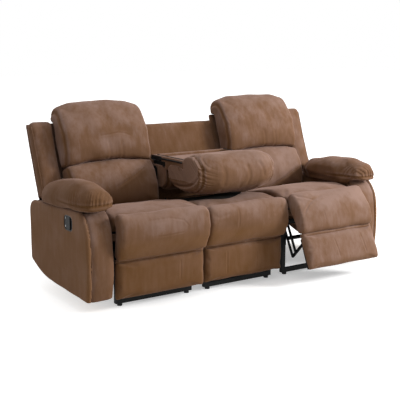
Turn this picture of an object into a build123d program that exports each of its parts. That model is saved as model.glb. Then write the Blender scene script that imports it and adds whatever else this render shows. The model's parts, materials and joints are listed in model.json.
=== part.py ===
from build123d import *
import os
from math import atan2, cos, degrees, hypot, radians, sin, sqrt

# Three-seat reclining sofa with a fold-down console in the middle back.
# Lengths are in millimetres. X runs along the sofa, Y towards its back, Z up.
# While the pieces are made, Y is 0 at the front of the arms; export moves the origin
# to the middle of the footprint on the floor.

# ---- overall sizes
half_width = 1000.0          # centre line to the outer face of an arm
arm_end_y = 700.0            # front of the arms to their rear faces
back_height = 431.0          # outer back's top edge, measured up the lean
back_lean = 20.5             # degrees that the backs lean at rest
arm_thickness = 148.0
seat_side_gap = 13.5         # between the three seats' pitch and the arm
seat_gap = 9.0               # between neighbouring seat cushions
soft_gap = 0.5               # between a cushion and what it meets
sheet_gap = 0.8              # between plates that slide past each other
pin_clearance = 0.05         # radial, in a running hinge
rest_gap = 0.3               # between a piece and its stop or its seat

arm_inner = half_width - arm_thickness
seat_pitch = (arm_inner - seat_side_gap) / 1.5     # centre to centre of the seats
seat_width = seat_pitch - seat_gap
seat_centres = (-seat_pitch, 0.0, seat_pitch)

# ---- steel underframe
rail_size = 25.0
glide_radius = 14.0
glide_sides = 12
glide_height = 13.0
frame_inset = 70.0           # from the middle between two seats to a side plate
frame_half = seat_pitch / 2 - frame_inset
plate_thickness = 5.0
front_leg_y = 75.0
rear_leg_y = arm_end_y - 90.0
plate_bottom = 300.0
plate_top = 370.0
plate_front = 68.0
tie_y = (184.0, rear_leg_y - 50.0)
seat_rail = 30.0
seat_rail_front = 62.0
seat_rail_rear = rear_leg_y - 18.0
deck_level = plate_top + seat_rail
rail_bottom = glide_height
rail_top = rail_bottom + rail_size
leg_offset = frame_half + plate_thickness / 2 + rail_size / 2
spring_wire = 3.6
spring_swing = 22.0
spring_waves = 5
spring_count = 3
spring_spread = (2 * frame_half - seat_rail) / spring_count

# ---- seats
seat_top = 492.0
seat_crown = 13.0
seat_bottom = deck_level + spring_wire + soft_gap
roll_to_seat = 4.0
middle_set_back = 20.0       # of the middle seat behind the two at the ends
middle_drop = 14.0

# ---- footrest: a front roll that turns about the seat's front edge and a panel below it
roll_pivot = (-27.0, 476.0)  # y, z of the line that the roll turns about
roll_radius = 30.0
roll_half_width = seat_pitch / 2 - 6.5
seat_front = roll_pivot[0] + roll_radius + roll_to_seat
seam = (0.0, 260.0)          # y, z of the seam between roll and panel, closed
panel_height = 204.0
panel_half_width = seat_pitch / 2 - 8.5
pad_thickness = 27.0
board_thickness = 15.0
panel_ratio = 0.58           # panel's turn for each degree of the roll's turn
right_opening = 39.2         # the right footrest stands partly open
footrest_link_ratio = -0.0714

# ---- links, y and z of the pivots with the footrest closed
link_width = 18.0
link_thickness = 5.0
rivet_radius = 5.0
pin_sides = 12               # of the pins that work in slack holes
slack_hole_radius = 6.6      # their corners clear the pin by over a millimetre
rear_link_pivot = (120.0, 320.0)
rear_link_length = 222.04
rear_link_angle = -102.242   # degrees from straight ahead, up is positive
front_link_pivot = (90.744, 350.906)
front_link_length = 222.707
front_link_angle = -102.972
footrest_link_length = 178.809
footrest_link_angle = 229.856
knee_spacing = 40.0          # between the two lower pivots along the footrest link
footrest_pivot = (52.0, -20.0)   # back and up from the seam
cross_tube = 18.0

# ---- arms
arm_skin = 20.0
arm_inner_skin = 16.0
arm_top_skin = 10.0           # of the cover behind the pad
arm_frame_size = 40.0
arm_top_front = (76.0, 528.0)            # y, z where the arm's upper edge starts
arm_top_rear = (arm_end_y - 64.0, 500.0)
arm_low = 74.0                           # height of the lower edge at the front
arm_rear_corner = 440.0                  # height where the arm's top turns into its rear
pad_centre = half_width - 70.0
pad_half_width = 97.0
pad_height = 138.0
handle_y = 198.0
handle_z = 452.0
handle_width = 98.0
handle_height = 80.0
handle_corner = 26.0
handle_wall = 4.0
handle_depth = 18.0
lever_width = 56.0
lever_thickness = 5.0
lever_pin_radius = 2.5

# ---- backs, in a frame that leans: w is 0 at the rear face, s is 0 at seat-back height
back_base = (arm_end_y - 55.0, 500.0)
back_skin = 18.0
back_frame_depth = 36.0
cushion_back = -(back_skin + back_frame_depth + soft_gap)
back_inner = seat_pitch / 2 - 2.5
back_cushion_inner = back_inner + 1.0
back_cushion_outer = arm_inner - 19.0
wing_inner = back_cushion_outer + 18.0
wing_outer = half_width - 29.0
wing_depth = 76.0
wing_bottom = 8.0
lumbar_bottom = -112.0
lumbar_front = -158.0
lumbar_top = 145.0
lumbar_arch = 26.0
headrest_top = back_height + 100.0
recline_pivot = (back_base[0], 340.0)
strap_thickness = 5.0
pivot_pin_radius = 6.0
seat_rear = back_base[0] - 183.0

# ---- fixed middle back and rear panel
middle_back_half = seat_pitch / 2 - 13.5
middle_back_depth = 45.0
middle_back_top = 396.0
middle_back_skin = 16.0
rear_panel_thickness = 12.0
rear_panel_top = 430.0

# ---- console, folded down
console_half = seat_pitch / 2 - 17.5
console_rear = back_base[0] - 47.0
console_pivot = (console_rear - 53.0, 630.0)
console_border = 712.0       # top of the upholstered border
tray_level = 697.0
shell_front = console_rear - 348.0
shell_bottom = 636.0
border_width = 26.0
tray_thickness = 7.0
cup_radius = 42.0
cup_depth = 54.0
cup_wall = 2.0
cup_spacing = 210.0
cup_y = console_rear - 198.0
console_headrest_front = console_rear - 546.0
hinge_strap = 5.0
hinge_pin_radius = 6.0


# ---- helpers
def along_x(face_points, x0, x1):
    """Extrudes an outline of (y, z) points from x0 to x1."""
    outline = Polyline(*[(0, y, z) for y, z in face_points], close=True)
    return Pos(x0, 0, 0) * extrude(make_face(outline), x1 - x0, dir=(1, 0, 0))


def yz_face(edges):
    return make_face(Wire(edges))


def chorded(edges, steps=3):
    """A face across X with each arc run as a few chords, which keeps the padded forms light."""
    points = []
    for edge in edges:
        count = 1 if isinstance(edge, Line) else steps
        points += [edge @ (index / count) for index in range(count)]
    return make_face(Polyline(*points, close=True))


def extrude_x(face, x0, x1):
    return Pos(x0, 0, 0) * extrude(face, x1 - x0, dir=(1, 0, 0))


def block(x0, x1, y0, y1, z0, z1):
    centre = ((x0 + x1) / 2, (y0 + y1) / 2, (z0 + z1) / 2)
    return Pos(*centre) * Box(x1 - x0, y1 - y0, z1 - z0)


def rod_x(x0, x1, y, z, radius):
    turned = Cylinder(radius, x1 - x0, rotation=(0, 90, 0))
    return Pos((x0 + x1) / 2, y, z) * turned


def flat_bar(run, width):
    """Outline of a bar with clipped corners between two pivots, the first at the origin."""
    half = width / 2
    clip = half * 0.6
    points = [
        (-half, -half + clip),
        (-half + clip, -half),
        (run + half - clip, -half),
        (run + half, -half + clip),
        (run + half, half - clip),
        (run + half - clip, half),
        (-half + clip, half),
        (-half, half - clip),
    ]
    return make_face(Polyline(*points, close=True))


def standing_at(x0, start, end):
    """Location that stands an XY outline across X, with its own X from start towards end."""
    turn = degrees(atan2(end[1] - start[1], end[0] - start[0]))
    plane = Plane(origin=(x0, start[0], start[1]), x_dir=(0, 1, 0), z_dir=(1, 0, 0))
    return Location(plane) * Rot(0, 0, turn)


def distance(start, end):
    return hypot(end[0] - start[0], end[1] - start[1])


def banded(sections):
    """A padded form that runs straight from each section to the next."""
    return loft(sections, ruled=True)


def plane_sided(sections):
    """A banded form between sections of one outline at other sizes, so each side is flat."""
    sides = [Face(side.outer_wire()) for side in banded(sections).faces()]
    return Solid(Shell(sides))


def drawn_in(profile, centre, stations):
    """A padded form with one side view, drawn in about a centre (y, z) towards its ends."""
    sections = []
    for x, share in stations:

        def at(y, z):
            return (x, centre[0] + (y - centre[0]) * share, centre[1] + (z - centre[1]) * share)

        sections.append(profile(at))
    return plane_sided(sections)


def mirrored(shape):
    return mirror(shape, about=Plane.YZ)


def group(solids):
    gathered = []
    for item in solids:
        gathered.extend(item.solids())
    return Compound(children=gathered)


def turned(shape, pivot, angle):
    """Turns a shape about a line along X; positive lifts its front edge."""
    return shape.rotate(Axis((0, pivot[0], pivot[1]), (1, 0, 0)), -angle)


def turned_point(point, pivot, angle):
    dy, dz = point[0] - pivot[0], point[1] - pivot[1]
    c, s = cos(radians(angle)), sin(radians(angle))
    return (pivot[0] + dy * c + dz * s, pivot[1] + dz * c - dy * s)


def from_back(w, s):
    """y and z of a point given in the leaning frame."""
    c, d = cos(radians(back_lean)), sin(radians(back_lean))
    return (back_base[0] + w * c + s * d, back_base[1] - w * d + s * c)


def lean(shape):
    return Location((0, back_base[0], back_base[1]), (-back_lean, 0, 0)) * shape


plane_base = plate_thickness / 2 + sheet_gap      # planes of the links, inwards from a side plate
plane_footrest = plane_base + link_thickness + sheet_gap
plane_bracket = plane_footrest + link_thickness + sheet_gap


def in_plane(centre, side, offset, depth):
    """x range of a plate that lies offset inside a side plate."""
    x = centre + side * frame_half
    return sorted((x - side * offset, x - side * (offset + depth)))


# ---- underframe
def cross_rails():
    rails = []
    for centre in seat_centres:
        for y in (front_leg_y, rear_leg_y):
            reach = leg_offset + rail_size / 2
            rails.append(block(centre - reach, centre + reach, y, y + rail_size, rail_bottom, rail_top))
    return rails


def floor_glides():
    glides = []
    for centre in seat_centres:
        for side in (-1, 1):
            for y in (front_leg_y, rear_leg_y):
                outline = RegularPolygon(glide_radius, glide_sides)
                body = Pos(0, 0, -glide_height / 2) * extrude(outline, glide_height)
                place = (centre + side * frame_half, y + rail_size / 2, glide_height / 2)
                glides.append(Pos(*place) * body)
    return group(glides)


def legs():
    posts = []
    for centre in seat_centres:
        for side in (-1, 1):
            x = centre + side * leg_offset
            half = rail_size / 2
            for y in (front_leg_y, rear_leg_y):
                posts.append(block(x - half, x + half, y, y + rail_size, rail_top, plate_top))
    return posts


def plate_outline():
    """A side plate whose rear end is drawn out into an ear round the recline pivot."""
    y_ear, z_ear = recline_pivot
    ear = 22.0
    points = [
        (plate_front, plate_bottom),
        (y_ear - ear, plate_bottom),
        (y_ear + ear * 0.4, z_ear - ear),
        (y_ear + ear, z_ear - ear * 0.4),
        (y_ear + ear, z_ear + ear * 0.4),
        (y_ear + ear * 0.4, z_ear + ear),
        (y_ear - ear, plate_top),
        (plate_front, plate_top),
    ]
    return make_face(Polyline(*points, close=True))


def plate_pins(centre, side):
    """The pivots riveted into a recliner's side plate: two of the footrest and one of the back."""
    outer = -plate_thickness / 2
    link_end = plane_base + link_thickness + rest_gap
    strap_end = plate_thickness / 2 + sheet_gap + strap_thickness + rest_gap
    pins = []
    for point, last, radius in (
        (rear_link_pivot, link_end, rivet_radius),
        (front_link_pivot, link_end, rivet_radius),
        (recline_pivot, strap_end, pivot_pin_radius),
    ):
        x0, x1 = in_plane(centre, side, outer, last - outer)
        pins.append(rod_x(x0, x1, point[0], point[1], radius))
    return pins


def side_plates():
    plates = []
    for centre in seat_centres:
        for side in (-1, 1):
            x = centre + side * frame_half - plate_thickness / 2
            flat = extrude(plate_outline(), plate_thickness)
            standing = Location(Plane(origin=(x, 0, 0), x_dir=(0, 1, 0), z_dir=(1, 0, 0)))
            plate = standing * flat
            if centre:
                for pin in plate_pins(centre, side):
                    plate += pin
            plates.append(plate)
    return group(plates)


def tie_rails():
    reach = arm_inner
    rails = []
    for y in tie_y:
        rails.append(block(-reach, reach, y, y + rail_size, plate_bottom - rail_size, plate_bottom))
    return rails


def seat_frames():
    rails = []
    for centre in seat_centres:
        for side in (-1, 1):
            x = centre + side * frame_half
            half = seat_rail / 2
            rails.append(block(x - half, x + half, seat_rail_front, seat_rail_rear, plate_top, deck_level))
        reach = frame_half - seat_rail / 2
        for y in (seat_rail_front, seat_rail_rear - seat_rail):
            rails.append(block(centre - reach, centre + reach, y, y + seat_rail, plate_top, deck_level))
    return group(rails)


def spring_outline():
    """One sinuous spring laid flat, as a ribbon as wide as its wire."""
    start = seat_rail_front + seat_rail / 2
    end = seat_rail_rear - seat_rail / 2
    pitch = (end - start) / spring_waves
    left, right = [], []
    for wave in range(spring_waves):
        y = start + wave * pitch
        for share, x in ((0.25, -spring_swing), (0.75, spring_swing)):
            left.append((x, y + share * pitch))
    path = [(0, start)] + left + [(0, end)]
    half = spring_wire / 2
    for (x0, y0), (x1, y1) in zip(path, path[1:]):
        run = hypot(x1 - x0, y1 - y0)
        right.append(((y1 - y0) / run, -(x1 - x0) / run))
    normals = [right[0]]
    for (ax, ay), (bx, by) in zip(right, right[1:]):
        mx, my = ax + bx, ay + by
        size = mx * ax + my * ay
        normals.append((mx / size, my / size))
    normals.append(right[-1])
    one_side = [(x + half * nx, y + half * ny) for (x, y), (nx, ny) in zip(path, normals)]
    other_side = [(x - half * nx, y - half * ny) for (x, y), (nx, ny) in zip(path, normals)]
    return make_face(Polyline(*(one_side + other_side[::-1]), close=True))


def seat_springs():
    one = extrude(spring_outline(), spring_wire)
    springs = []
    for centre in seat_centres:
        for index in range(spring_count):
            x = centre + (index - (spring_count - 1) / 2) * spring_spread
            springs.append(Pos(x, 0, deck_level) * one)
    return group(springs)


# ---- seats
def seat_cushion(centre, front, drop):
    top = seat_top - drop

    def profile(at):
        toe, heel = at(front + 46, seat_bottom), at(seat_rear, seat_bottom)
        crest = at((front + seat_rear) / 2, top + seat_crown)
        back_edge = at(seat_rear - 10, top - 26)
        return chorded(
            [
                Line(toe, at(front, top - 30)),
                ThreePointArc(at(front, top - 30), at(front + 8, top - 8), at(front + 30, top)),
                ThreePointArc(at(front + 30, top), crest, at(seat_rear - 40, top - 10)),
                ThreePointArc(at(seat_rear - 40, top - 10), back_edge, at(seat_rear, top - 56)),
                Line(at(seat_rear, top - 56), heel),
                Line(heel, toe),
            ]
        )

    half = seat_width / 2
    shares = ((-half, 0.95), (28 - half, 0.99), (0.0, 1.0), (half - 28, 0.99), (half, 0.95))
    stations = [(centre + x, share) for x, share in shares]
    return drawn_in(profile, ((front + seat_rear) / 2, seat_bottom), stations)


def front_roll(centre, pivot, low):
    """The roll closed: a round top about its pivot, a full front and a tucked lower edge."""
    py, pz = pivot
    r = roll_radius
    quarter = r * sqrt(0.5)
    heel = (low[0] + 33, low[1] + 26)

    def profile(at):
        chin, lip = at(low[0] - 30, low[1] + 32), at(low[0], low[1] + rest_gap)
        return chorded(
            [
                ThreePointArc(at(py + r, pz), at(py + quarter, pz + quarter), at(py, pz + r)),
                ThreePointArc(at(py, pz + r), at(py - quarter, pz + quarter), at(py - r, pz)),
                ThreePointArc(at(py - r, pz), at(py - r - 5, pz - 0.45 * (pz - low[1])), chin),
                ThreePointArc(chin, at(low[0] - 18, low[1] + 10), lip),
                Line(lip, at(*heel)),
                Line(at(*heel), at(py + r, pz)),
            ]
        )

    half = roll_half_width
    middle = (pivot[0], (pivot[1] + low[1]) / 2)
    shares = ((-half, 0.93), (20 - half, 1.0), (half - 20, 1.0), (half, 0.93))
    return drawn_in(profile, middle, [(centre + x, share) for x, share in shares])


def panel_section(x, low, thickness, draw):
    """The lower panel's pad: a nearly flat face with a soft lower edge."""
    y, top = low
    bottom = top - panel_height
    crown = 7.0 - draw
    top = top - rest_gap

    def at(dy, z):
        return (x, y + dy, z)

    return yz_face(
        [
            ThreePointArc(at(draw, top), at(-crown, top - panel_height / 2), at(draw, bottom + 12)),
            ThreePointArc(at(draw, bottom + 12), at(draw + 5, bottom + 3), at(draw + 14, bottom)),
            Line(at(draw + 14, bottom), at(thickness, bottom)),
            Line(at(thickness, bottom), at(thickness, top - 11)),
            Line(at(thickness, top - 11), at(draw, top)),
        ]
    )


def lower_pad(centre, low):
    half = panel_half_width
    stations = ((-half, 5.0), (18 - half, 0.0), (half - 18, 0.0), (half, 5.0))
    return banded([panel_section(centre + x, low, pad_thickness, draw) for x, draw in stations])


def footrest_board(centre, low):
    y0 = low[0] + pad_thickness
    half = panel_half_width - 12
    z0, z1 = low[1] - panel_height + 6, low[1] - 22
    return block(centre - half, centre + half, y0, y0 + board_thickness, z0, z1)


def panel_battens(low):
    """Timber between the fixed middle panel's board and the front legs."""
    y0 = low[0] + pad_thickness + board_thickness
    battens = []
    for side in (-1, 1):
        x = side * leg_offset
        half = rail_size / 2
        z0, z1 = low[1] - panel_height + 20, low[1] - 30
        battens.append(block(x - half, x + half, y0, front_leg_y, z0, z1))
    return battens


# ---- links
def ahead(start, length, angle):
    """The end of a link: 0 degrees points to the front, 90 up."""
    return (start[0] - length * cos(radians(angle)), start[1] + length * sin(radians(angle)))


footrest_hinge = (seam[0] + footrest_pivot[0], seam[1] + footrest_pivot[1])
rear_knee = ahead(rear_link_pivot, rear_link_length, rear_link_angle)
front_knee = ahead(front_link_pivot, front_link_length, front_link_angle)
link_foot = ahead(footrest_hinge, footrest_link_length, footrest_link_angle)


def base_link(centre, pivot, knee):
    """A link that turns on the side plate, with the pin that works in the footrest link's slack hole."""
    pieces = []
    for side in (-1, 1):
        x0, x1 = in_plane(centre, side, plane_base, link_thickness)
        outline = flat_bar(distance(pivot, knee), link_width) - Circle(rivet_radius + pin_clearance)
        bar = standing_at(x0, pivot, knee) * extrude(outline, link_thickness)
        p0, p1 = in_plane(centre, side, plane_base, plane_footrest + link_thickness + rest_gap - plane_base)
        shaft = extrude(RegularPolygon(rivet_radius, pin_sides), p1 - p0)
        pieces.append(bar + Pos(p0, knee[0], knee[1]) * (Rot(0, 90, 0) * shaft))
    return pieces


def footrest_links(centre):
    pieces = []
    slack = RegularPolygon(slack_hole_radius, pin_sides)
    for side in (-1, 1):
        x0, x1 = in_plane(centre, side, plane_footrest, link_thickness)
        outline = flat_bar(footrest_link_length, link_width) - slack
        outline -= Pos(knee_spacing, 0) * slack
        outline -= Pos(footrest_link_length, 0) * Circle(rivet_radius + pin_clearance)
        pieces.append(standing_at(x0, link_foot, footrest_hinge) * extrude(outline, link_thickness))
    return pieces


def footrest_brackets(centre):
    """An arm from the board back to the footrest link, with its pin."""
    pieces = []
    y_board = seam[0] + pad_thickness + board_thickness
    y_hinge, z_hinge = footrest_hinge
    for side in (-1, 1):
        x0, x1 = in_plane(centre, side, plane_bracket, link_thickness)
        arm = along_x(
            [
                (y_board, z_hinge - 110),
                (y_board, z_hinge - 4),
                (y_board + 2, z_hinge + 8),
                (y_hinge + 4, z_hinge + 9),
                (y_hinge + 11, z_hinge),
                (y_hinge + 10, z_hinge - 12),
                (y_board + 8, z_hinge - 110),
            ],
            x0,
            x1,
        )
        foot_x = x1 if side < 0 else x0 - 18
        foot = block(foot_x, foot_x + 18, y_board, y_board + 4, z_hinge - 108, z_hinge - 40)
        i0, i1 = in_plane(centre, side, plane_footrest - rest_gap, link_thickness + sheet_gap + rest_gap + 1)
        pin = rod_x(i0, i1, y_hinge, z_hinge, rivet_radius)
        pieces.append(arm + foot + pin)
    return pieces


def cross_bar(centre):
    """The tube that keeps the rear links of both sides together."""
    middle = ((rear_link_pivot[0] + rear_knee[0]) / 2, (rear_link_pivot[1] + rear_knee[1]) / 2)
    reach = frame_half - plane_base - link_thickness
    half = cross_tube / 2
    return block(
        centre - reach, centre + reach, middle[0] - half, middle[0] + half, middle[1] - half, middle[1] + half
    )


# ---- arms (right arm; the left one is its mirror image)
def pad_seat_level(y):
    """Height of the arm's upper edge at y."""
    slope = (arm_top_front[1] - arm_top_rear[1]) / (arm_top_rear[0] - arm_top_front[0])
    return arm_top_front[1] - (y - arm_top_front[0]) * slope


def arm_rear_edges(drop):
    """The arm's outline from its upper edge round the rear to the front of its lower edge."""

    def at(y, z):
        return (0, y, z)

    corner = at(arm_end_y, arm_rear_corner - drop)
    rear_foot = at(arm_end_y, 163 + drop)
    belly_end = at(arm_end_y - 270, arm_low + 16 + drop)
    return [
        ThreePointArc(at(arm_top_rear[0], arm_top_rear[1] - drop), at(arm_end_y - 18, 482 - drop), corner),
        Line(corner, rear_foot),
        ThreePointArc(rear_foot, at(arm_end_y - 114, arm_low + 42 + drop), belly_end),
    ]


def arm_outer_panel():
    def at(y, z):
        return (0, y, z)

    top = at(*arm_top_front)
    belly_end = at(arm_end_y - 270, arm_low + 16)
    face = yz_face(
        [
            ThreePointArc(at(-6, arm_low), at(-22, 245), at(-12, 396)),
            ThreePointArc(at(-12, 396), at(18, 475), top),
            Line(top, at(*arm_top_rear)),
        ]
        + arm_rear_edges(0.0)
        + [Line(belly_end, at(-6, arm_low))]
    )
    panel = extrude_x(face, half_width - arm_skin, half_width)
    panel = chamfer(panel.faces().sort_by(Axis.X)[-1].edges(), 5)
    opening = Box(arm_skin + 2, handle_width, handle_height)
    opening = Pos(half_width - arm_skin / 2, handle_y, handle_z) * opening
    opening = fillet(opening.edges().filter_by(Axis.X), handle_corner)
    return panel - opening


def arm_inner_panel():
    """The inner side and the rear, in one upholstered cover."""

    def at(y, z):
        return (0, y, z)

    low, high = at(21, arm_low + 1), at(22, 396)
    belly_end = at(arm_end_y - 270, arm_low + 17)
    face = yz_face(
        [
            ThreePointArc(low, at(18, 245), high),
            ThreePointArc(high, at(44, 449), at(90, 492)),
            Line(at(90, 492), at(90, pad_seat_level(90) - 1)),
            Line(at(90, pad_seat_level(90) - 1), at(arm_top_rear[0], arm_top_rear[1] - 1)),
        ]
        + arm_rear_edges(1.0)
        + [Line(belly_end, low)]
    )
    x1 = half_width - arm_skin - soft_gap
    cover = extrude_x(face, arm_inner, arm_inner + arm_inner_skin)
    rear_inner = arm_end_y - rear_panel_thickness
    corner_z = arm_rear_corner - 1
    rear = block(arm_inner + 1, x1, rear_inner, arm_end_y, 166, corner_z)
    skin = arm_top_skin
    under_pad, over_bend = arm_end_y - 150, arm_top_rear[1] - 1
    start = at(under_pad, pad_seat_level(under_pad) - 1)
    start_below = at(under_pad, pad_seat_level(under_pad) - 1 - skin)
    bend, bend_below = at(arm_top_rear[0], over_bend), at(arm_top_rear[0], over_bend - skin)
    round_below = at(arm_end_y - 18 - skin * 0.8, 481 - skin * 0.8)
    crown = yz_face(
        [
            Line(start, bend),
            ThreePointArc(bend, at(arm_end_y - 18, 481), at(arm_end_y, corner_z)),
            Line(at(arm_end_y, corner_z), at(rear_inner, corner_z)),
            ThreePointArc(at(rear_inner, corner_z), round_below, bend_below),
            Line(bend_below, start_below),
            Line(start_below, start),
        ]
    )
    return cover + (rear + extrude_x(crown, arm_inner + 1, x1))


def arm_front_section(x, out):
    """The padded front at one station: its bowed face and the curve it lies on."""
    y_top, z_top = arm_top_front[0], arm_top_front[1] - 2

    def at(y, z):
        return (x, y, z)

    return chorded(
        [
            ThreePointArc(at(-6 - out, arm_low), at(-22 - out, 245), at(-12 - out, 396)),
            ThreePointArc(at(-12 - out, 396), at(14 - out * 0.8, 472), at(y_top, z_top)),
            Line(at(y_top, z_top), at(86, 497)),
            ThreePointArc(at(86, 497), at(38, 452), at(19, 396)),
            ThreePointArc(at(19, 396), at(15, 245), at(19, arm_low)),
            Line(at(19, arm_low), at(-6 - out, arm_low)),
        ]
    )


def arm_front():
    """The padded front: it bows forwards between the two side panels."""
    x0, x1 = arm_inner, half_width - arm_skin - soft_gap
    stations = ((x0, -10.0), (x0 + 26, 5.0), (x1 - 20, 5.0), (x1, -1.0))
    return banded([arm_front_section(x, out) for x, out in stations])


def arm_frame():
    """Two posts and two rails of timber inside the arm."""
    x0 = arm_inner + arm_inner_skin
    x1 = half_width - arm_skin - soft_gap
    size = arm_frame_size
    front, rear = 90.0, arm_end_y - rear_panel_thickness - size
    front_post = block(x0, x1, front, front + size, arm_low + 18, 490)
    rear_post = block(x0, x1, rear, rear + size, 176, 435)
    low_rail = block(x0, x1, front + size, rear, 165, 165 + size)
    rail_top_z = arm_top_rear[1] - 1 - arm_top_skin - soft_gap
    high_rail = block(x0, x1, front + size, arm_top_rear[0] - 2, rail_top_z - size, rail_top_z)
    bottom = along_x(
        [
            (22, arm_low + 3),
            (arm_end_y - 270, arm_low + 18),
            (arm_end_y - 114, arm_low + 45),
            (arm_end_y - 14, 166),
            (arm_end_y - 14, 176),
            (arm_end_y - 114, arm_low + 53),
            (arm_end_y - 270, arm_low + 26),
            (22, arm_low + 11),
        ],
        x0,
        x1,
    )
    return [front_post, rear_post, low_rail, high_rail, bottom]


def pad_section(y, share):
    """Front view of the arm pad at one station along Y, drawn in by a share."""
    base = pad_seat_level(y) + soft_gap
    half, crest = pad_half_width * share, pad_height * share
    side = crest * 0.42

    def at(dx, dz):
        return (pad_centre + dx, y, base + dz)

    return chorded(
        [
            ThreePointArc(at(-half, side), at(-half * 0.68, crest * 0.86), at(0, crest)),
            ThreePointArc(at(0, crest), at(half * 0.68, crest * 0.86), at(half, side)),
            ThreePointArc(at(half, side), at(half * 0.93, crest * 0.12), at(half * 0.72, 0)),
            Line(at(half * 0.72, 0), at(-half * 0.72, 0)),
            ThreePointArc(at(-half * 0.72, 0), at(-half * 0.93, crest * 0.12), at(-half, side)),
        ]
    )


def arm_pad():
    rear = arm_end_y - 144
    stations = ((6, 0.45), (34, 0.8), (130, 1.0), (330, 1.0), (rear - 60, 0.82), (rear, 0.45))
    return plane_sided([pad_section(y, share) for y, share in stations])


def handle_cup():
    """A shallow recess with a flange; the flap lies in its rear part."""
    outer = Box(handle_depth, handle_width - 2 * rest_gap, handle_height - 2 * rest_gap)
    outer = fillet(outer.edges().filter_by(Axis.X), handle_corner - rest_gap)
    hollow = Box(handle_depth, handle_width - 2 * handle_wall, handle_height - 2 * handle_wall)
    hollow = fillet(hollow.edges().filter_by(Axis.X), handle_corner - handle_wall)
    cup = outer - Pos(handle_wall, 0, 0) * hollow
    return Pos(half_width + 1 - handle_depth / 2, handle_y, handle_z) * cup


lever_pin = (half_width - 4.0, handle_y + handle_width / 2 - handle_wall - 7.0)
lever_pin_length = 54.0


def handle_pin():
    return Pos(lever_pin[0], lever_pin[1], handle_z) * Cylinder(lever_pin_radius, lever_pin_length)


def handle_lever():
    """The flap: a thin plate with a knuckle round its pin and a turned-in finger edge."""
    height = handle_height - 2 * handle_wall - 4.0
    y1 = lever_pin[1]
    y0 = y1 - lever_width
    x0 = half_width - 4.5
    plate = block(x0, x0 + lever_thickness, y0, y1, handle_z - height / 2, handle_z + height / 2)
    plate = fillet(plate.edges().filter_by(Axis.X).group_by(Axis.Y)[-1], 4)
    lip_half = height / 2 - 10
    lip = block(half_width - 10, x0, y0, y0 + 5, handle_z - lip_half, handle_z + lip_half)
    knuckle = Pos(lever_pin[0], lever_pin[1], handle_z) * Cylinder(lever_pin_radius + 2.2, 30)
    flap = plate + lip + knuckle
    corner = block(half_width - 12, half_width + 4, y1 - 8, y1 + 12, handle_z - 60, handle_z + 60)
    flap -= corner - Pos(0, 0, handle_z) * Box(4000, 4000, 30)
    flap -= Pos(lever_pin[0], lever_pin[1], handle_z) * Cylinder(lever_pin_radius + pin_clearance, 200)
    return flap


# ---- reclining backs (right one; the left one is its mirror image)
back_centre = (back_cushion_inner + back_cushion_outer) / 2


def arch_cut(clearance, above):
    """The space above or below the arched seam, to cut a cushion along it."""
    half = (back_cushion_outer - back_cushion_inner) / 2
    ends, crest = lumbar_top + clearance, lumbar_top + lumbar_arch + clearance
    limit = 900 if above else -900
    outline = [
        ThreePointArc((-half, 0, ends), (0, 0, crest), (half, 0, ends)),
        Line((half, 0, ends), (half + 60, 0, ends)),
        Line((half + 60, 0, ends), (half + 60, 0, limit)),
        Line((half + 60, 0, limit), (-half - 60, 0, limit)),
        Line((-half - 60, 0, limit), (-half - 60, 0, ends)),
        Line((-half - 60, 0, ends), (-half, 0, ends)),
    ]
    slab = extrude(make_face(Wire(outline)), 300, dir=(0, 1, 0), both=True)
    return Pos(back_centre, 0, 0) * slab


def lumbar_cushion():
    low, top, front = lumbar_bottom, lumbar_top + 60, lumbar_front

    def profile(at):
        return chorded(
            [
                Line(at(cushion_back, top), at(cushion_back, low)),
                ThreePointArc(at(cushion_back, low), at(-105, low - 6), at(front, low + 12)),
                ThreePointArc(at(front, low + 12), at(front - 26, 20), at(front + 20, top - 40)),
                Line(at(front + 20, top - 40), at(front + 40, top)),
                Line(at(front + 40, top), at(cushion_back, top)),
            ]
        )

    half = (back_cushion_outer - back_cushion_inner) / 2
    shares = ((-half, 0.88), (30 - half, 0.98), (0.0, 1.0), (half - 30, 0.98), (half, 0.88))
    stations = [(back_centre + x, share) for x, share in shares]
    cushion = drawn_in(profile, (cushion_back, 20.0), stations)
    return lean(cushion - arch_cut(-soft_gap / 2, True))


def headrest_pillow():
    low, top = lumbar_top - 60, headrest_top
    front, rear = -140.0, -8.0
    middle = lumbar_top + (top - lumbar_top) * 0.42

    def profile(at):
        return chorded(
            [
                Line(at(rear, top - 40), at(rear, low)),
                Line(at(rear, low), at(front + 16, low)),
                ThreePointArc(at(front + 16, low), at(front - 50, middle), at(front - 12, top - 58)),
                ThreePointArc(at(front - 12, top - 58), at(front + 18, top - 14), at(-80, top)),
                ThreePointArc(at(-80, top), at(-34, top - 8), at(rear, top - 40)),
            ]
        )

    half = (back_cushion_outer - back_cushion_inner) / 2
    ends = ((half, 0.76), (half - 20, 0.89), (half - 110, 0.98))
    stations = [(back_centre - x, share) for x, share in ends]
    stations.append((back_centre, 1.0))
    stations += [(back_centre + x, share) for x, share in reversed(ends)]
    pillow = drawn_in(profile, (-60.0, headrest_top - 281), stations)
    inner = block(0, half_width, cushion_back, 60, -200, back_height + soft_gap)
    return lean(pillow - inner - arch_cut(soft_gap / 2, False))


def outer_back():
    """The upholstered rear: full width above the arm, narrower between arm and seat."""
    low = -96.0
    above_arm = wing_bottom
    outline = Polyline(
        (back_inner, low),
        (wing_inner - 6, low),
        (wing_inner - 6, above_arm),
        (wing_outer, above_arm),
        (wing_outer, back_height),
        (back_inner, back_height),
        close=True,
    )
    upright = make_face(outline)
    panel = extrude(Plane.XZ * upright, back_skin)
    rear = panel.faces().sort_by(Axis.Y)
    if abs(rear[0].center().Y) < abs(rear[-1].center().Y):
        panel = Pos(0, -back_skin - rear[0].center().Y, 0) * panel
    else:
        panel = Pos(0, -rear[-1].center().Y, 0) * panel
    panel = chamfer(panel.faces().sort_by(Axis.Y)[-1].edges(), 6)
    return lean(panel)


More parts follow.
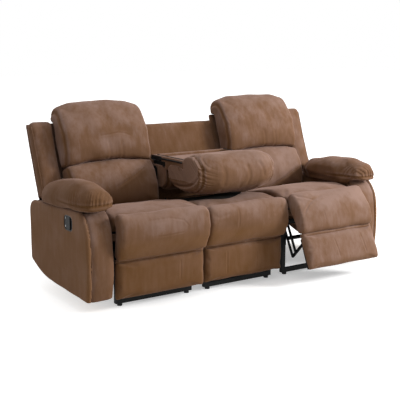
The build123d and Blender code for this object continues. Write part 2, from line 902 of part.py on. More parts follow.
def wing():
    """The upright pad beside the cushions, rounded at its outer front edge."""
    body = block(wing_inner, wing_outer, -wing_depth, -back_skin, wing_bottom, back_height)
    body = fillet(body.edges().filter_by(Axis.Y).group_by(Axis.Z)[-1], 26)
    front = body.faces().sort_by(Axis.Y)[0]
    return lean(chamfer(front.edges(), 10))


def back_frame():
    """Two uprights, three rails and the straps down to the recline pivots."""
    tube = back_frame_depth
    solids = []
    y0, y1 = -back_skin - tube, -back_skin
    for side in (-1, 1):
        x = seat_pitch + side * frame_half
        solids.append(lean(block(x - 15, x + 15, y0, y1, -100, 400)))
    for s in (-70.0, 150.0, 370.0):
        reach = frame_half - 15
        solids.append(lean(block(seat_pitch - reach, seat_pitch + reach, y0 + 6, y1, s, s + 30)))
    top = from_back(-40.0, -52.0)
    for side in (-1, 1):
        x0, x1 = in_plane(seat_pitch, side, plate_thickness / 2 + sheet_gap, strap_thickness)
        outline = flat_bar(distance(recline_pivot, top), 36) - Circle(pivot_pin_radius + pin_clearance)
        strap = standing_at(x0, recline_pivot, top) * extrude(outline, strap_thickness)
        keep = lean(block(x0 - 2, x1 + 2, -400, 400, -400, -100))
        solids.append(strap & keep)
    return solids


# ---- fixed middle back
def middle_frame():
    """Two uprights on the seat frame and two rails between them, inside the cover."""
    solids = []
    floor_cut = block(-2000, 2000, -2000, 2000, -2000, deck_level)
    y0 = -middle_back_depth + middle_back_skin
    y1 = -8.0
    for side in (-1, 1):
        x = side * (frame_half - 2)
        solids.append(lean(block(x - 12, x + 12, y0, y1, -180, middle_back_top - 20)) - floor_cut)
    for s in (60.0, middle_back_top - 50):
        reach = frame_half - 14
        solids.append(lean(block(-reach, reach, y0, y1, s, s + 24)))
    return group(solids)


def middle_cover():
    """A padded cover that hangs over the frame, open below."""
    body = block(-middle_back_half, middle_back_half, -middle_back_depth, 0, -88, middle_back_top)
    body = fillet(body.edges().filter_by(Axis.X).group_by(Axis.Z)[-1], 9)
    reach = frame_half + 12
    hollow = block(-reach, reach, -middle_back_depth + middle_back_skin, -8.0, -200, middle_back_top - 18)
    return lean(body - hollow)


def rear_panel():
    y1 = arm_end_y - 2
    reach = arm_inner - rest_gap
    panel = block(-reach, reach, y1 - rear_panel_thickness, y1, 150, rear_panel_top)
    return fillet(panel.faces().sort_by(Axis.Y)[-1].edges(), 4)


# ---- console, folded down
def console_shell():
    """Upholstered board with a raised border round the tray."""
    shell = block(-console_half, console_half, shell_front, console_rear, shell_bottom, console_border)
    shell = fillet(shell.edges().filter_by(Axis.X).group_by(Axis.Y)[-1], 14)
    shell = chamfer(shell.edges().filter_by(Axis.Y).group_by(Axis.Z)[-1], 7)
    inset = border_width
    pocket_floor = tray_level - tray_thickness
    half = console_half - inset
    pocket = block(-half, half, shell_front + 14, console_rear - inset, pocket_floor, console_border + 5)
    reach = cup_radius + cup_wall + 2
    x1 = cup_spacing / 2 + reach
    well = block(-x1, x1, cup_y - reach, cup_y + reach, shell_bottom - 1, pocket_floor + 1)
    return shell - pocket - well


def console_tray():
    inset = border_width + rest_gap
    tray = block(
        -console_half + inset,
        console_half - inset,
        shell_front + 14 + rest_gap,
        console_rear - inset,
        tray_level - tray_thickness,
        tray_level,
    )
    tray = chamfer(tray.edges().filter_by(Axis.Z), 6)
    cup_hole = Cylinder(cup_radius + cup_wall + rest_gap, 4 * tray_thickness)
    for side in (-1, 1):
        tray -= Pos(side * cup_spacing / 2, cup_y, tray_level) * cup_hole
    return tray


def cup_liners():
    liners = []
    for side in (-1, 1):
        height = cup_depth + cup_wall
        cup = Pos(0, 0, -height / 2) * Cylinder(cup_radius + cup_wall, height)
        cup -= Pos(0, 0, -cup_depth / 2) * Cylinder(cup_radius, cup_depth)
        liners.append(Pos(side * cup_spacing / 2, cup_y, tray_level) * cup)
    return group(liners)


def tray_trims():
    """Black side trims along the tray."""
    trims = []
    for side in (-1, 1):
        x0 = side * (console_half - border_width + 1)
        x1 = side * (console_half - border_width + 9)
        x0, x1 = min(x0, x1), max(x0, x1)
        trims.append(block(x0, x1, shell_front + 16, console_rear - 30, console_border, console_border + 3))
    return group(trims)


def console_lumbar():
    """The folded lumbar cushion, which hangs below the shell."""
    rear, front = console_rear - 6, console_rear - 268
    top = shell_bottom - soft_gap
    low = 512.0

    def profile(at):
        return chorded(
            [
                Line(at(front, top), at(rear, top)),
                ThreePointArc(at(rear, top), at(rear - 2, top - 46), at(rear - 22, low + 34)),
                ThreePointArc(at(rear - 22, low + 34), at((front + rear) / 2, low), at(front + 10, low + 30)),
                ThreePointArc(at(front + 10, low + 30), at(front + 1, low + 46), at(front, low + 66)),
                Line(at(front, low + 66), at(front, top)),
            ]
        )

    half = console_half - 1
    stations = ((-half, 0.86), (30 - half, 1.0), (half - 30, 1.0), (half, 0.86))
    return drawn_in(profile, ((front + rear) / 2, top), stations)


def console_headrest():
    """The folded headrest pillow: it meets the shell's front edge and hangs before the lumbar cushion."""
    front = console_headrest_front
    rear = console_rear - 272
    crest, low = 748.0, 507.0
    shell_y = shell_front - soft_gap
    shell_z = shell_bottom - soft_gap
    edge = console_border - 2

    def profile(at):
        return chorded(
            [
                Line(at(rear, low + 66), at(rear, shell_z)),
                Line(at(rear, shell_z), at(shell_y, shell_z)),
                Line(at(shell_y, shell_z), at(shell_y, edge)),
                ThreePointArc(at(shell_y, edge), at(shell_y - 30, crest - 12), at(shell_y - 90, crest)),
                ThreePointArc(at(shell_y - 90, crest), at(front + 30, crest - 34), at(front, 640.0)),
                ThreePointArc(at(front, 640.0), at(front + 22, low + 44), at(front + 90, low + 8)),
                ThreePointArc(at(front + 90, low + 8), at(front + 180, low), at(rear, low + 66)),
            ]
        )

    half = console_half
    ends = ((half, 0.78), (half - 20, 0.9), (half - 110, 1.0))
    stations = [(-x, share) for x, share in ends] + [(x, share) for x, share in reversed(ends)]
    return drawn_in(profile, (shell_y, shell_z), stations)


def console_arms():
    """Steel side plates of the console that reach down to its pivots."""
    y, z = console_pivot
    plates = []
    for side in (-1, 1):
        x0 = side * (console_half + soft_gap)
        x1 = side * (console_half + soft_gap + hinge_strap)
        outline = Polyline(
            (y - 99, z + 19),
            (y - 22, z + 19),
            (y - 19, z - 8),
            (y - 8, z - 19),
            (y + 8, z - 19),
            (y + 19, z - 8),
            (y + 19, z + 53),
            (y - 99, z + 53),
            close=True,
        )
        flat = extrude(make_face(outline) - Pos(y, z) * Circle(hinge_pin_radius + pin_clearance), hinge_strap)
        standing = Location(Plane(origin=(min(x0, x1), 0, 0), x_dir=(0, 1, 0), z_dir=(1, 0, 0)))
        plates.append(standing * flat)
    return group(plates)


def console_brackets():
    """Upright straps on the middle seat frame, with the console's pivots riveted in."""
    y, z = console_pivot
    straps = []
    for side in (-1, 1):
        inner = console_half + soft_gap + hinge_strap + sheet_gap
        x0, x1 = sorted((side * inner, side * (inner + hinge_strap)))
        low = [(y - 20, deck_level), (y + 20, deck_level)]
        high = [(y + 20, z + 8), (y + 8, z + 20), (y - 8, z + 20), (y - 20, z + 8)]
        upright = along_x(low + high, x0, x1)
        foot_x = side * (frame_half - 10)
        foot = block(min(foot_x, x1), max(foot_x, x1), y - 20, y + 20, deck_level, deck_level + 5)
        p0, p1 = sorted((side * (console_half + soft_gap + rest_gap), side * (inner + hinge_strap)))
        straps.append(upright + foot + rod_x(p0, p1, y, z, hinge_pin_radius))
    return straps


# ---- everything, in its place
def main():
    parts = {}
    parts["underframe"] = group(cross_rails() + legs() + tie_rails())
    parts["floor_glides"] = floor_glides()
    parts["side_plates"] = side_plates()
    parts["seat_frames"] = seat_frames()
    parts["seat_springs"] = seat_springs()
    parts["left_seat_cushion"] = seat_cushion(-seat_pitch, seat_front, 0.0)
    parts["right_seat_cushion"] = seat_cushion(seat_pitch, seat_front, 0.0)
    middle_pivot = (roll_pivot[0] + middle_set_back, roll_pivot[1] - middle_drop)
    middle_seam = (seam[0] + middle_set_back, seam[1])
    parts["middle_seat_cushion"] = seat_cushion(0.0, seat_front + middle_set_back, middle_drop)
    parts["middle_front_roll"] = front_roll(0.0, middle_pivot, middle_seam)
    parts["middle_lower_panel"] = lower_pad(0.0, middle_seam)
    parts["middle_panel_board"] = group([footrest_board(0.0, middle_seam)] + panel_battens(middle_seam))

    for name, centre, opening in (("left", -seat_pitch, 0.0), ("right", seat_pitch, right_opening)):
        at_seam = turned_point(seam, roll_pivot, opening)
        panel_turn = panel_ratio * opening

        def on_panel(shape):
            """Carries the footrest panel's pieces from closed to the rest opening."""
            shift = Pos(0, at_seam[0] - seam[0], at_seam[1] - seam[1])
            return shift * turned(shape, seam, panel_turn)

        hinge_now = turned_point(footrest_hinge, seam, panel_turn)
        hinge_now = (hinge_now[0] + at_seam[0] - seam[0], hinge_now[1] + at_seam[1] - seam[1])

        def on_link(shape):
            shift = Pos(0, hinge_now[0] - footrest_hinge[0], hinge_now[1] - footrest_hinge[1])
            return shift * turned(shape, footrest_hinge, footrest_link_ratio * opening)

        parts[f"{name}_front_roll"] = turned(front_roll(centre, roll_pivot, seam), roll_pivot, opening)
        parts[f"{name}_footrest_pad"] = on_panel(lower_pad(centre, seam))
        parts[f"{name}_footrest_board"] = on_panel(footrest_board(centre, seam))
        parts[f"{name}_footrest_brackets"] = group([on_panel(s) for s in footrest_brackets(centre)])
        rear = base_link(centre, rear_link_pivot, rear_knee) + [cross_bar(centre)]
        parts[f"{name}_rear_links"] = group([turned(s, rear_link_pivot, opening) for s in rear])
        front = base_link(centre, front_link_pivot, front_knee)
        parts[f"{name}_front_links"] = group([turned(s, front_link_pivot, opening) for s in front])
        parts[f"{name}_footrest_links"] = group([on_link(s) for s in footrest_links(centre)])
        print(name, "seam", at_seam, "footrest hinge", hinge_now)

    parts["handle_pins"] = group([handle_pin(), mirrored(handle_pin())])
    parts["handle_cups"] = group([handle_cup(), mirrored(handle_cup())])
    right_frame = arm_frame()
    parts["arm_frames"] = group(right_frame + [mirrored(s) for s in right_frame])
    parts["arm_inner_panels"] = group([arm_inner_panel(), mirrored(arm_inner_panel())])
    for make, stem in (
        (arm_outer_panel, "arm_outer_panel"),
        (arm_front, "arm_front"),
        (arm_pad, "arm_pad"),
        (handle_lever, "handle_lever"),
        (lumbar_cushion, "lumbar_cushion"),
        (headrest_pillow, "headrest_pillow"),
        (outer_back, "outer_back"),
        (wing, "wing"),
    ):
        piece = make()
        parts[f"right_{stem}"] = piece
        parts[f"left_{stem}"] = mirrored(piece)
    frame = back_frame()
    parts["right_back_frame"] = group(frame)
    parts["left_back_frame"] = group([mirrored(s) for s in frame])

    parts["middle_back_frame"] = middle_frame()
    parts["middle_back_cover"] = middle_cover()
    parts["rear_panel"] = rear_panel()
    parts["console_shell"] = console_shell()
    parts["console_tray"] = console_tray()
    parts["cup_liners"] = cup_liners()
    parts["tray_trims"] = tray_trims()
    parts["console_lumbar"] = console_lumbar()
    parts["console_headrest"] = console_headrest()
    parts["console_arms"] = console_arms()
    parts["console_brackets"] = group(console_brackets())

    low_y, high_y = 1e9, -1e9
    for piece in parts.values():
        box = piece.bounding_box()
        low_y, high_y = min(low_y, box.min.Y), max(high_y, box.max.Y)
    shift = -(low_y + high_y) / 2
    print("nodes", len(parts), "depth", high_y - low_y, "shift in y", shift)

    os.makedirs("parts", exist_ok=True)
    for name, piece in parts.items():
        export_step(Pos(0, shift, 0) * piece, f"parts/{name}.step")


main()
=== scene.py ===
import json
import math

import bmesh
import bpy
import numpy as np
from mathutils import Matrix, Vector


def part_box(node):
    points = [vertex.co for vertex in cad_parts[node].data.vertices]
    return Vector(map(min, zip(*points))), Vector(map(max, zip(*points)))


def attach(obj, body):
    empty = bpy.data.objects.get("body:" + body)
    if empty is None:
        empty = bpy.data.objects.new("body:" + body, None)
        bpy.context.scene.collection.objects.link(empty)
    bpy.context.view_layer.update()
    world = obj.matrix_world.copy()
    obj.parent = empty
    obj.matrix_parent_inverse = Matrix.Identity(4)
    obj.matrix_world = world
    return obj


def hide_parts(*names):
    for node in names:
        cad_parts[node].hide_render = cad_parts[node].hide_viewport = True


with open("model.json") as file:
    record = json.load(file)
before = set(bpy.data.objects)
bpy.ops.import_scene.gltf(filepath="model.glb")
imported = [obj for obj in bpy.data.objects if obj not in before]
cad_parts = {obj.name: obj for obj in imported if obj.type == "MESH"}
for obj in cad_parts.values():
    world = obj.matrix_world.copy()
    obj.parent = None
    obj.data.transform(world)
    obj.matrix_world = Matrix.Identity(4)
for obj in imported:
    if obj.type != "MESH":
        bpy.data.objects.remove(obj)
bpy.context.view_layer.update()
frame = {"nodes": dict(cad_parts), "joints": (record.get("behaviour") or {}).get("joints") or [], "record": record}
nodes = frame["nodes"]
scene = bpy.context.scene
print("frame loaded,", len(nodes), "CAD nodes")

# Driving values in metres and radians; the arms' front plane is read from the frame
armLength = 0.700
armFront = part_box("right_arm_outer_panel")[1].y - armLength
backLean = math.radians(20.5)  # how far the reclining backs lean at rest
openAngle = math.radians(39.2)  # how far the right footrest stands open at rest
fillSteps = 20  # frames of the cloth simulation that fills the cushions
sides = (("left", "Left", -1), ("right", "Right", 1))


# Materials
def srgb(text):
    # "#rrggbb" as linear RGBA
    levels = [int(text[i : i + 2], 16) / 255 for i in (1, 3, 5)]
    return [v / 12.92 if v <= 0.04045 else ((v + 0.055) / 1.055) ** 2.4 for v in levels] + [1]


def addNode(tree, kind, settings=None, links=None):
    node = tree.nodes.new("ShaderNode" + kind)
    for name, value in (settings or {}).items():
        if name == "stops":  # places and colours of a colour ramp
            marks = node.color_ramp.elements
            while len(marks) < len(value):
                marks.new(0.5)
            for mark, (place, colour) in zip(marks, value):
                mark.position = place
                mark.color = srgb(colour)
        elif isinstance(name, int) or name in node.inputs:
            node.inputs[name].default_value = value
        else:
            setattr(node, name, value)
    for name, source in (links or {}).items():
        tree.links.new(source, node.inputs[name])
    return node


def startMaterial(name, settings):
    # A material, its tree, its shader with these settings, and a link from its Object coordinates
    material = bpy.data.materials.new(name)
    material.use_nodes = True
    tree = material.node_tree
    shader = tree.nodes["Principled BSDF"]
    for socket, value in settings.items():
        shader.inputs[socket].default_value = value
    return material, tree, shader, {"Vector": addNode(tree, "TexCoord").outputs["Object"]}


def dressSurface(tree, shader, tone, stops, relief=None, strength=0.3, depth=0.0003):
    # Colours a surface by one pattern and, where there is a second, presses that into it
    ramp = addNode(tree, "ValToRGB", {"stops": stops}, {"Fac": tone})
    tree.links.new(ramp.outputs["Color"], shader.inputs["Base Color"])
    if relief:
        settings = {"Strength": strength, "Distance": depth}
        bump = addNode(tree, "Bump", settings, {"Height": relief})
        tree.links.new(bump.outputs["Normal"], shader.inputs["Normal"])


def microfibreSuede():
    # Brushed polyester microfibre: matt, with a short pile that catches light at grazing angles
    # and shows cloudy hand marks; mauve where the pile stands up, golden brown where it lies down.
    # Light and shade are also painted in: paler and mauve on faces that look up, and painted light,
    # painted shade and a golden shade tint wherever the nap and warm attributes put them
    look = {
        "pileDownAndShaded": "#5c3d20",
        "pileMiddle": "#6b4d38",
        "pileUpAndLit": "#83695d",
        "paintedLightingGold": "#76512b",  # pile lying flat and seen from its side
        "cloud": 7.0,  # golden brown painted in where the warm attribute paints shade and half light
        "streak": (34.0, 34.0, 7.0),  # brushed streaks, about 30 mm wide and 140 mm long
        "pile": 330.0,  # tufts of the pile, drawn at 3 mm so that they show
        "pileDepth": 0.0009,
    }
    settings = {"Roughness": 0.92, "Specular IOR Level": 0.22, "Sheen Weight": 0.26}
    settings.update({"Sheen Roughness": 0.4, "Sheen Tint": srgb("#d6b5aa")})
    material, tree, shader, vector = startMaterial("microfibreSuede", settings)
    clouds = addNode(tree, "TexNoise", {"Scale": look["cloud"], "Detail": 4.0}, vector)
    stretched = addNode(tree, "Mapping", {"Scale": look["streak"]}, vector)
    settings = {"Scale": 1.0, "Detail": 5.0, "Roughness": 0.62}
    streaks = addNode(tree, "TexNoise", settings, {"Vector": stretched.outputs[0]})
    tufts = addNode(tree, "TexNoise", {"Scale": look["pile"], "Detail": 2.0}, vector)
    # Painted light: faces that look up are painted paler, and the nap attribute paints paler and darker marks,
    # which are brushed pile in hand marks and painted light and shade elsewhere
    normal = addNode(tree, "NewGeometry").outputs["Normal"]
    upward = addNode(tree, "SeparateXYZ", links={"Vector": normal}).outputs["Z"]
    paintedTopLight = addNode(tree, "Math", {"operation": "MULTIPLY_ADD", 1: 0.2, 2: 0.0}, {0: upward})
    napAndShadingMarks = addNode(tree, "Attribute", {"attribute_name": "nap"}).outputs["Fac"]
    paintedLightAndNap = addNode(tree, "Math", {"operation": "ADD"}, {0: paintedTopLight.outputs[0], 1: napAndShadingMarks})
    # Painted light and shade: the ramp below mixes random hand marks with the painted top light and painted marks
    links = {0: clouds.outputs["Fac"], 2: paintedLightAndNap.outputs[0]}
    marks = addNode(tree, "Math", {"operation": "MULTIPLY_ADD", 1: 0.55}, links)
    links = {0: streaks.outputs["Fac"], 2: marks.outputs[0]}
    pile = addNode(tree, "Math", {"operation": "MULTIPLY_ADD", 1: 0.42}, links)
    stops = [(0.24, look["pileDownAndShaded"]), (0.5, look["pileMiddle"]), (0.78, look["pileUpAndLit"])]
    plain = addNode(tree, "ValToRGB", {"stops": stops}, {"Fac": pile.outputs[0]})
    # and painted more golden where the warm attribute paints a shade tint
    warm = addNode(tree, "Attribute", {"attribute_name": "warm"})
    settings = {"data_type": "RGBA", "blend_type": "MIX", 7: srgb(look["paintedLightingGold"])}
    links = {0: warm.outputs["Fac"], 6: plain.outputs["Color"]}
    toned = addNode(tree, "Mix", settings, links)
    tree.links.new(toned.outputs[2], shader.inputs["Base Color"])
    links = {0: streaks.outputs["Fac"], 2: tufts.outputs["Fac"]}
    relief = addNode(tree, "Math", {"operation": "MULTIPLY_ADD", 1: 0.5}, links)
    settings = {"Strength": 0.45, "Distance": look["pileDepth"]}
    bump = addNode(tree, "Bump", settings, {"Height": relief.outputs[0]})
    tree.links.new(bump.outputs["Normal"], shader.inputs["Normal"])
    return material


def powderCoat():
    # Steel with a satin black powder coat: even, in worn patches of about 40 mm a little greyer, with
    # an orange peel of 1.5 mm
    look = {"stops": [(0.45, "#060606"), (0.72, "#0d0d0d")], "wear": 26.0, "peel": 700.0}
    settings = {"Roughness": 0.55, "Specular IOR Level": 0.2}
    material, tree, shader, vector = startMaterial("powderCoatedSteel", settings)
    wear = addNode(tree, "TexNoise", {"Scale": look["wear"], "Detail": 6.0}, vector)
    peel = addNode(tree, "TexNoise", {"Scale": look["peel"]}, vector).outputs["Fac"]
    dressSurface(tree, shader, wear.outputs["Fac"], look["stops"], peel, strength=0.25)
    return material


def drawnSteel(name, dark, light, roughness):
    # Bare or zinc plated wire and pins: drawing marks, drawn at about 5 mm so that they show
    settings = {"Metallic": 1.0, "Roughness": roughness}
    material, tree, shader, vector = startMaterial(name, settings)
    marks = addNode(tree, "TexNoise", {"Scale": 180.0, "Detail": 4.0}, vector)
    dressSurface(tree, shader, marks.outputs["Fac"], [(0.3, dark), (0.7, light)])
    return material


def sawnWood(name, pale, dark, ringSpacing):
    # Planed softwood or plywood: long grain along X, dull and unvarnished
    settings = {"Roughness": 0.72, "Specular IOR Level": 0.3}
    material, tree, shader, vector = startMaterial(name, settings)
    rings = 1 / ringSpacing
    along = addNode(tree, "Mapping", {"Scale": (2.0, rings, rings)}, vector).outputs[0]
    settings = {"Scale": 1.0, "Detail": 6.0, "Distortion": 0.8}
    grain = addNode(tree, "TexNoise", settings, {"Vector": along}).outputs["Fac"]
    dressSurface(tree, shader, grain, [(0.32, dark), (0.62, pale)], grain, depth=0.0006)
    return material


def mouldedPlastic(name, colour, worn, roughness, grain):
    # Moulded in a spark-eroded tool: a fine grain of 1 to 2 mm cells, with patches about 30 mm wide,
    # a little greyer, where it is handled
    settings = {"Roughness": roughness, "Specular IOR Level": 0.25}
    material, tree, shader, vector = startMaterial(name, settings)
    handled = addNode(tree, "TexNoise", {"Scale": 34.0, "Detail": 3.0}, vector)
    cells = addNode(tree, "TexVoronoi", {"Scale": grain}, vector).outputs["Distance"]
    dressSurface(tree, shader, handled.outputs["Fac"], [(0.4, colour), (0.75, worn)], cells)
    return material


def nonwovenLining():
    # Black spun-bonded lining cloth: dull, with a faint embossed dot every 5 mm
    settings = {"Roughness": 0.95, "Specular IOR Level": 0.15}
    material, tree, shader, vector = startMaterial("blackLiningAndShadowSheet", settings)
    dots = addNode(tree, "TexVoronoi", {"Scale": 210.0}, vector).outputs["Distance"]
    dressSurface(tree, shader, dots, [(0.1, "#11100f"), (0.6, "#1b1917")])
    return material


finishes = {
    "suede": microfibreSuede(),
    "black_steel": powderCoat(),
    "spring_steel": drawnSteel("drawnSpringWire", "#4c4c50", "#77777c", 0.45),
    "pin_steel": drawnSteel("zincPlatedSteel", "#8d8e90", "#b9bbbd", 0.32),
    "timber": sawnWood("planedSoftwood", "#c9a777", "#a8814f", 0.012),
    "board": sawnWood("plywood", "#bd9a6b", "#94703f", 0.004),
    "black_plastic": mouldedPlastic("blackAbs", "#0d0d0e", "#1a1a1b", 0.42, 900.0),
    "grey_plastic": mouldedPlastic("charcoalAbs", "#08090a", "#101112", 0.6, 700.0),
    "glide": mouldedPlastic("hardRubber", "#0b0b0b", "#171717", 0.6, 500.0),
}
# What new pieces are made of, with the slot that it goes by
sewnCover = (finishes["suede"], "suede")
moulded = (finishes["black_plastic"], "black_plastic")
# Black lining cloth, also laid as sheets that stand in for shadow: painted shadow
blackClothAndShadowSheet = (nonwovenLining(), "black_plastic")
for part in frame["record"]["subparts"]:
    mesh = nodes[part["node"]].data
    mesh.materials.clear()
    mesh.materials.append(finishes[part["material_slot"]])
for board in ("left_footrest_board", "right_footrest_board", "middle_panel_board"):
    nodes[board].data.materials[0] = blackClothAndShadowSheet[0]  # the boards are wrapped in lining cloth
print("materials made,", len(finishes) + 1)


# Soft pieces
def pointsOf(piece):
    flat = np.zeros(len(piece.data.vertices) * 3, np.float32)
    piece.data.vertices.foreach_get("co", flat)
    return flat.reshape(-1, 3).astype(float)


def normalsOf(piece):
    flat = np.zeros(len(piece.data.vertices) * 3, np.float32)
    piece.data.vertex_normals.foreach_get("vector", flat)
    return flat.reshape(-1, 3).astype(float)


def movePoints(piece, points):
    piece.data.vertices.foreach_set("co", points.astype(np.float32).ravel())
    piece.data.update()


def bakeModifiers(piece):
    made = bpy.data.meshes.new_from_object(piece.evaluated_get(bpy.context.evaluated_depsgraph_get()))
    piece.modifiers.clear()
    old = piece.data
    piece.data = made
    bpy.data.meshes.remove(old)


def smoothStep(values):
    values = np.clip(values, 0, 1)
    return values * values * (3 - 2 * values)


def rising(values, start, over):
    # 0 up to a start, then smoothly up to 1 over a stretch
    return smoothStep((values - start) / over)


def falling(values, end, over):
    # 1 until a stretch before an end, then smoothly down to 0 there
    return smoothStep((end - values) / over)


def bell(values, centre, width):
    return np.exp(-(((values - centre) / width) ** 2))


def nearPath(u, v, path):
    # Distance of points (u, v) from a run of straight lines, and how far along it they lie
    best = np.full(len(u), 1e9)
    along = np.zeros(len(u))
    walked = 0.0
    for (u0, v0), (u1, v1) in zip(path, path[1:]):
        run = math.hypot(u1 - u0, v1 - v0)
        share = np.clip(((u - u0) * (u1 - u0) + (v - v0) * (v1 - v0)) / run**2, 0, 1)
        gap = np.hypot(u - u0 - share * (u1 - u0), v - v0 - share * (v1 - v0))
        closer = gap < best
        best[closer] = gap[closer]
        along[closer] = (walked + share * run)[closer]
        walked += run
    return best, along, walked


def remeshed(name, node, voxel, smoothing):
    piece = bpy.data.objects.new(name, nodes[node].data.copy())
    scene.collection.objects.link(piece)
    shell = bmesh.new()
    shell.from_mesh(piece.data)
    bmesh.ops.remove_doubles(shell, verts=shell.verts, dist=1e-5)
    shell.to_mesh(piece.data)
    shell.free()
    remesh = piece.modifiers.new("voxels", "REMESH")
    remesh.mode = "VOXEL"
    remesh.voxel_size = voxel
    smooth = piece.modifiers.new("rounding", "SMOOTH")
    smooth.factor = 0.5
    smooth.iterations = smoothing
    bakeModifiers(piece)
    return piece


def roundEnds(piece, axisPlace, reach, amounts, upperOnly):
    # Draws a cushion in towards its long axis (y, z) near its two ends, so that they round over
    points = pointsOf(piece)
    x, y, z = points.T
    axisY, axisZ = axisPlace
    upper = rising(z, axisZ - 0.05, 0.09) if upperOnly else 1
    for gap, amount in ((x - x.min(), amounts[0]), (x.max() - x, amounts[1])):
        near = np.clip(1 - gap / reach, 0, 1)
        drawn = 1 - upper * amount * (1 - np.sqrt(1 - 0.98 * near**2))
        y[:] = axisY + (y - axisY) * drawn
        z[:] = axisZ + (z - axisZ) * drawn
    movePoints(piece, points)


def seamDistance(points, seams):
    # Distance from each point to the nearest sewn line; a seam is a plane cut through the form
    nearest = np.full(len(points), 1e9)
    for seam in seams:
        gap = np.abs((points - np.array(seam["point"])) @ np.array(seam["normal"]))
        nearest = np.minimum(nearest, gap)
    return nearest


def prepareFill(piece, look, simulate):
    # Holds the sewn lines and the sides that rest on the frame; the fill pushes out the rest
    points, outward = pointsOf(piece), normalsOf(piece)
    held = np.zeros(len(points))
    for way in look.get("rests", ()):
        held = np.maximum(held, rising(outward @ np.array(way), 0.6, 0.25))
    if "seams" in look:
        gap = seamDistance(points, look["seams"])
        sewn = np.clip(1 - gap / (look["voxel"] * 1.1), 0, 1)
        held = np.maximum(held, sewn)
        points -= outward * (sewn * look.get("seamDepth", 0.004))[:, None]
        movePoints(piece, points)
    group = piece.vertex_groups.new(name="held")
    for level in (0.25, 0.5, 0.75, 1.0):
        chosen = np.nonzero((held > level - 0.25) & (held <= level))[0]
        group.add([int(i) for i in chosen], level, "REPLACE")
    if not simulate:
        return
    fill = piece.modifiers.new("fill", "CLOTH")
    cloth = fill.settings
    cloth.quality = 5
    cloth.use_pressure = True
    cloth.uniform_pressure_force = look["pressure"]
    cloth.vertex_group_mass = "held"
    cloth.effector_weights.gravity = 0.0
    cloth.bending_stiffness = look.get("bending", 2.5)
    cloth.tension_stiffness = cloth.compression_stiffness = 15.0
    fill.collision_settings.use_collision = False
    fill.point_cache.frame_start = 1
    fill.point_cache.frame_end = fillSteps


def applyFill(piece, before, cap):
    # Keeps the simulated shape, with its travel eased off towards a cap
    bakeModifiers(piece)
    moved = pointsOf(piece) - before
    length = np.linalg.norm(moved, axis=1)
    share = np.where(length > 1e-9, cap * np.tanh(length / cap) / np.maximum(length, 1e-9), 0)
    movePoints(piece, before + moved * share[:, None])
    calm = piece.modifiers.new("calm", "SMOOTH")  # takes out creases smaller than the cover's padding
    calm.factor = 0.5
    calm.iterations = 4
    bakeModifiers(piece)
    return float((length * share).max())


def refine(piece):
    finer = piece.modifiers.new("finer", "SUBSURF")
    finer.levels = finer.render_levels = 1
    bakeModifiers(piece)


def keepInside(piece, node, margins):
    # The cover stays within its CAD solid's box and a margin; what would pass it flattens out there
    ease = 0.006  # over this distance
    low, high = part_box(node)
    points = pointsOf(piece)
    for axis in range(3):
        for edge, sign in ((high[axis] + margins[axis], 1), (low[axis] - margins[axis], -1)):
            start = edge - sign * ease
            over = (points[:, axis] - start) * sign
            eased = start + sign * ease * np.tanh(over / ease)
            points[:, axis] = np.where(over > 0, eased, points[:, axis])
    movePoints(piece, points)


napAndShadingOf, lightingTintOf = {}, {}  # what each cover is painted, by piece name: paler and darker marks (brushed pile, painted light and painted shade) and a golden tint of painted shade


def paintNapAndShading(piece, amount):
    # Paints the cover paler where positive and darker where negative: brushed pile in hand marks, painted light
    # and painted shade elsewhere
    napAndShadingOf[piece.name] = napAndShadingOf.get(piece.name, 0) + amount


def paintLightingTint(piece, amount):
    # How golden the cover is painted there, from 0 to 1: a tint of painted light and shade
    lightingTintOf[piece.name] = np.maximum(lightingTintOf.get(piece.name, 0), amount)


def finishSoft(piece, body, node):
    mesh = piece.data
    for kind, painted in (("nap", napAndShadingOf), ("warm", lightingTintOf)):
        amount = np.zeros(len(mesh.vertices)) + painted.get(piece.name, 0)
        mesh.attributes.new(kind, "FLOAT", "POINT").data.foreach_set("value", amount.astype(np.float32))
    mesh.polygons.foreach_set("use_smooth", np.ones(len(mesh.polygons), bool))
    mesh.materials.clear()
    mesh.materials.append(sewnCover[0])
    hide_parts(node)
    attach(piece, body)


def pushAlong(piece, amount):
    # Moves each point along its own normal by an amount in metres
    movePoints(piece, pointsOf(piece) + normalsOf(piece) * amount[:, None])


def waves(points, seed, length, depth):
    # Slow unevenness of a filled cover, from a few long waves in random directions
    rng = np.random.default_rng(seed)
    total = np.zeros(len(points))
    for _ in range(7):
        way = rng.normal(size=3)
        way /= np.linalg.norm(way)
        stretch = length * rng.uniform(0.7, 1.5)
        total += np.sin(points @ way * 2 * math.pi / stretch + rng.uniform(0, 7))
    return total * depth / 3


def crease(piece, path, width, depth, axes=(0, 2), facing=(0, -1, 0), rise=0.35):
    # A soft line pressed into the cover along a path, with the cloth standing up beside it
    points, outward = pointsOf(piece), normalsOf(piece)
    gap, along, length = nearPath(points[:, axes[0]], points[:, axes[1]], path)
    fade = rising(along, 0, 0.15 * length) * falling(along, length, 0.15 * length)
    shows = smoothStep(outward @ np.array(facing) / 0.4)
    pressed = rise * bell(gap, 1.9 * width, width) - bell(gap, 0, width)
    movePoints(piece, points + outward * (pressed * depth * fade * shows)[:, None])


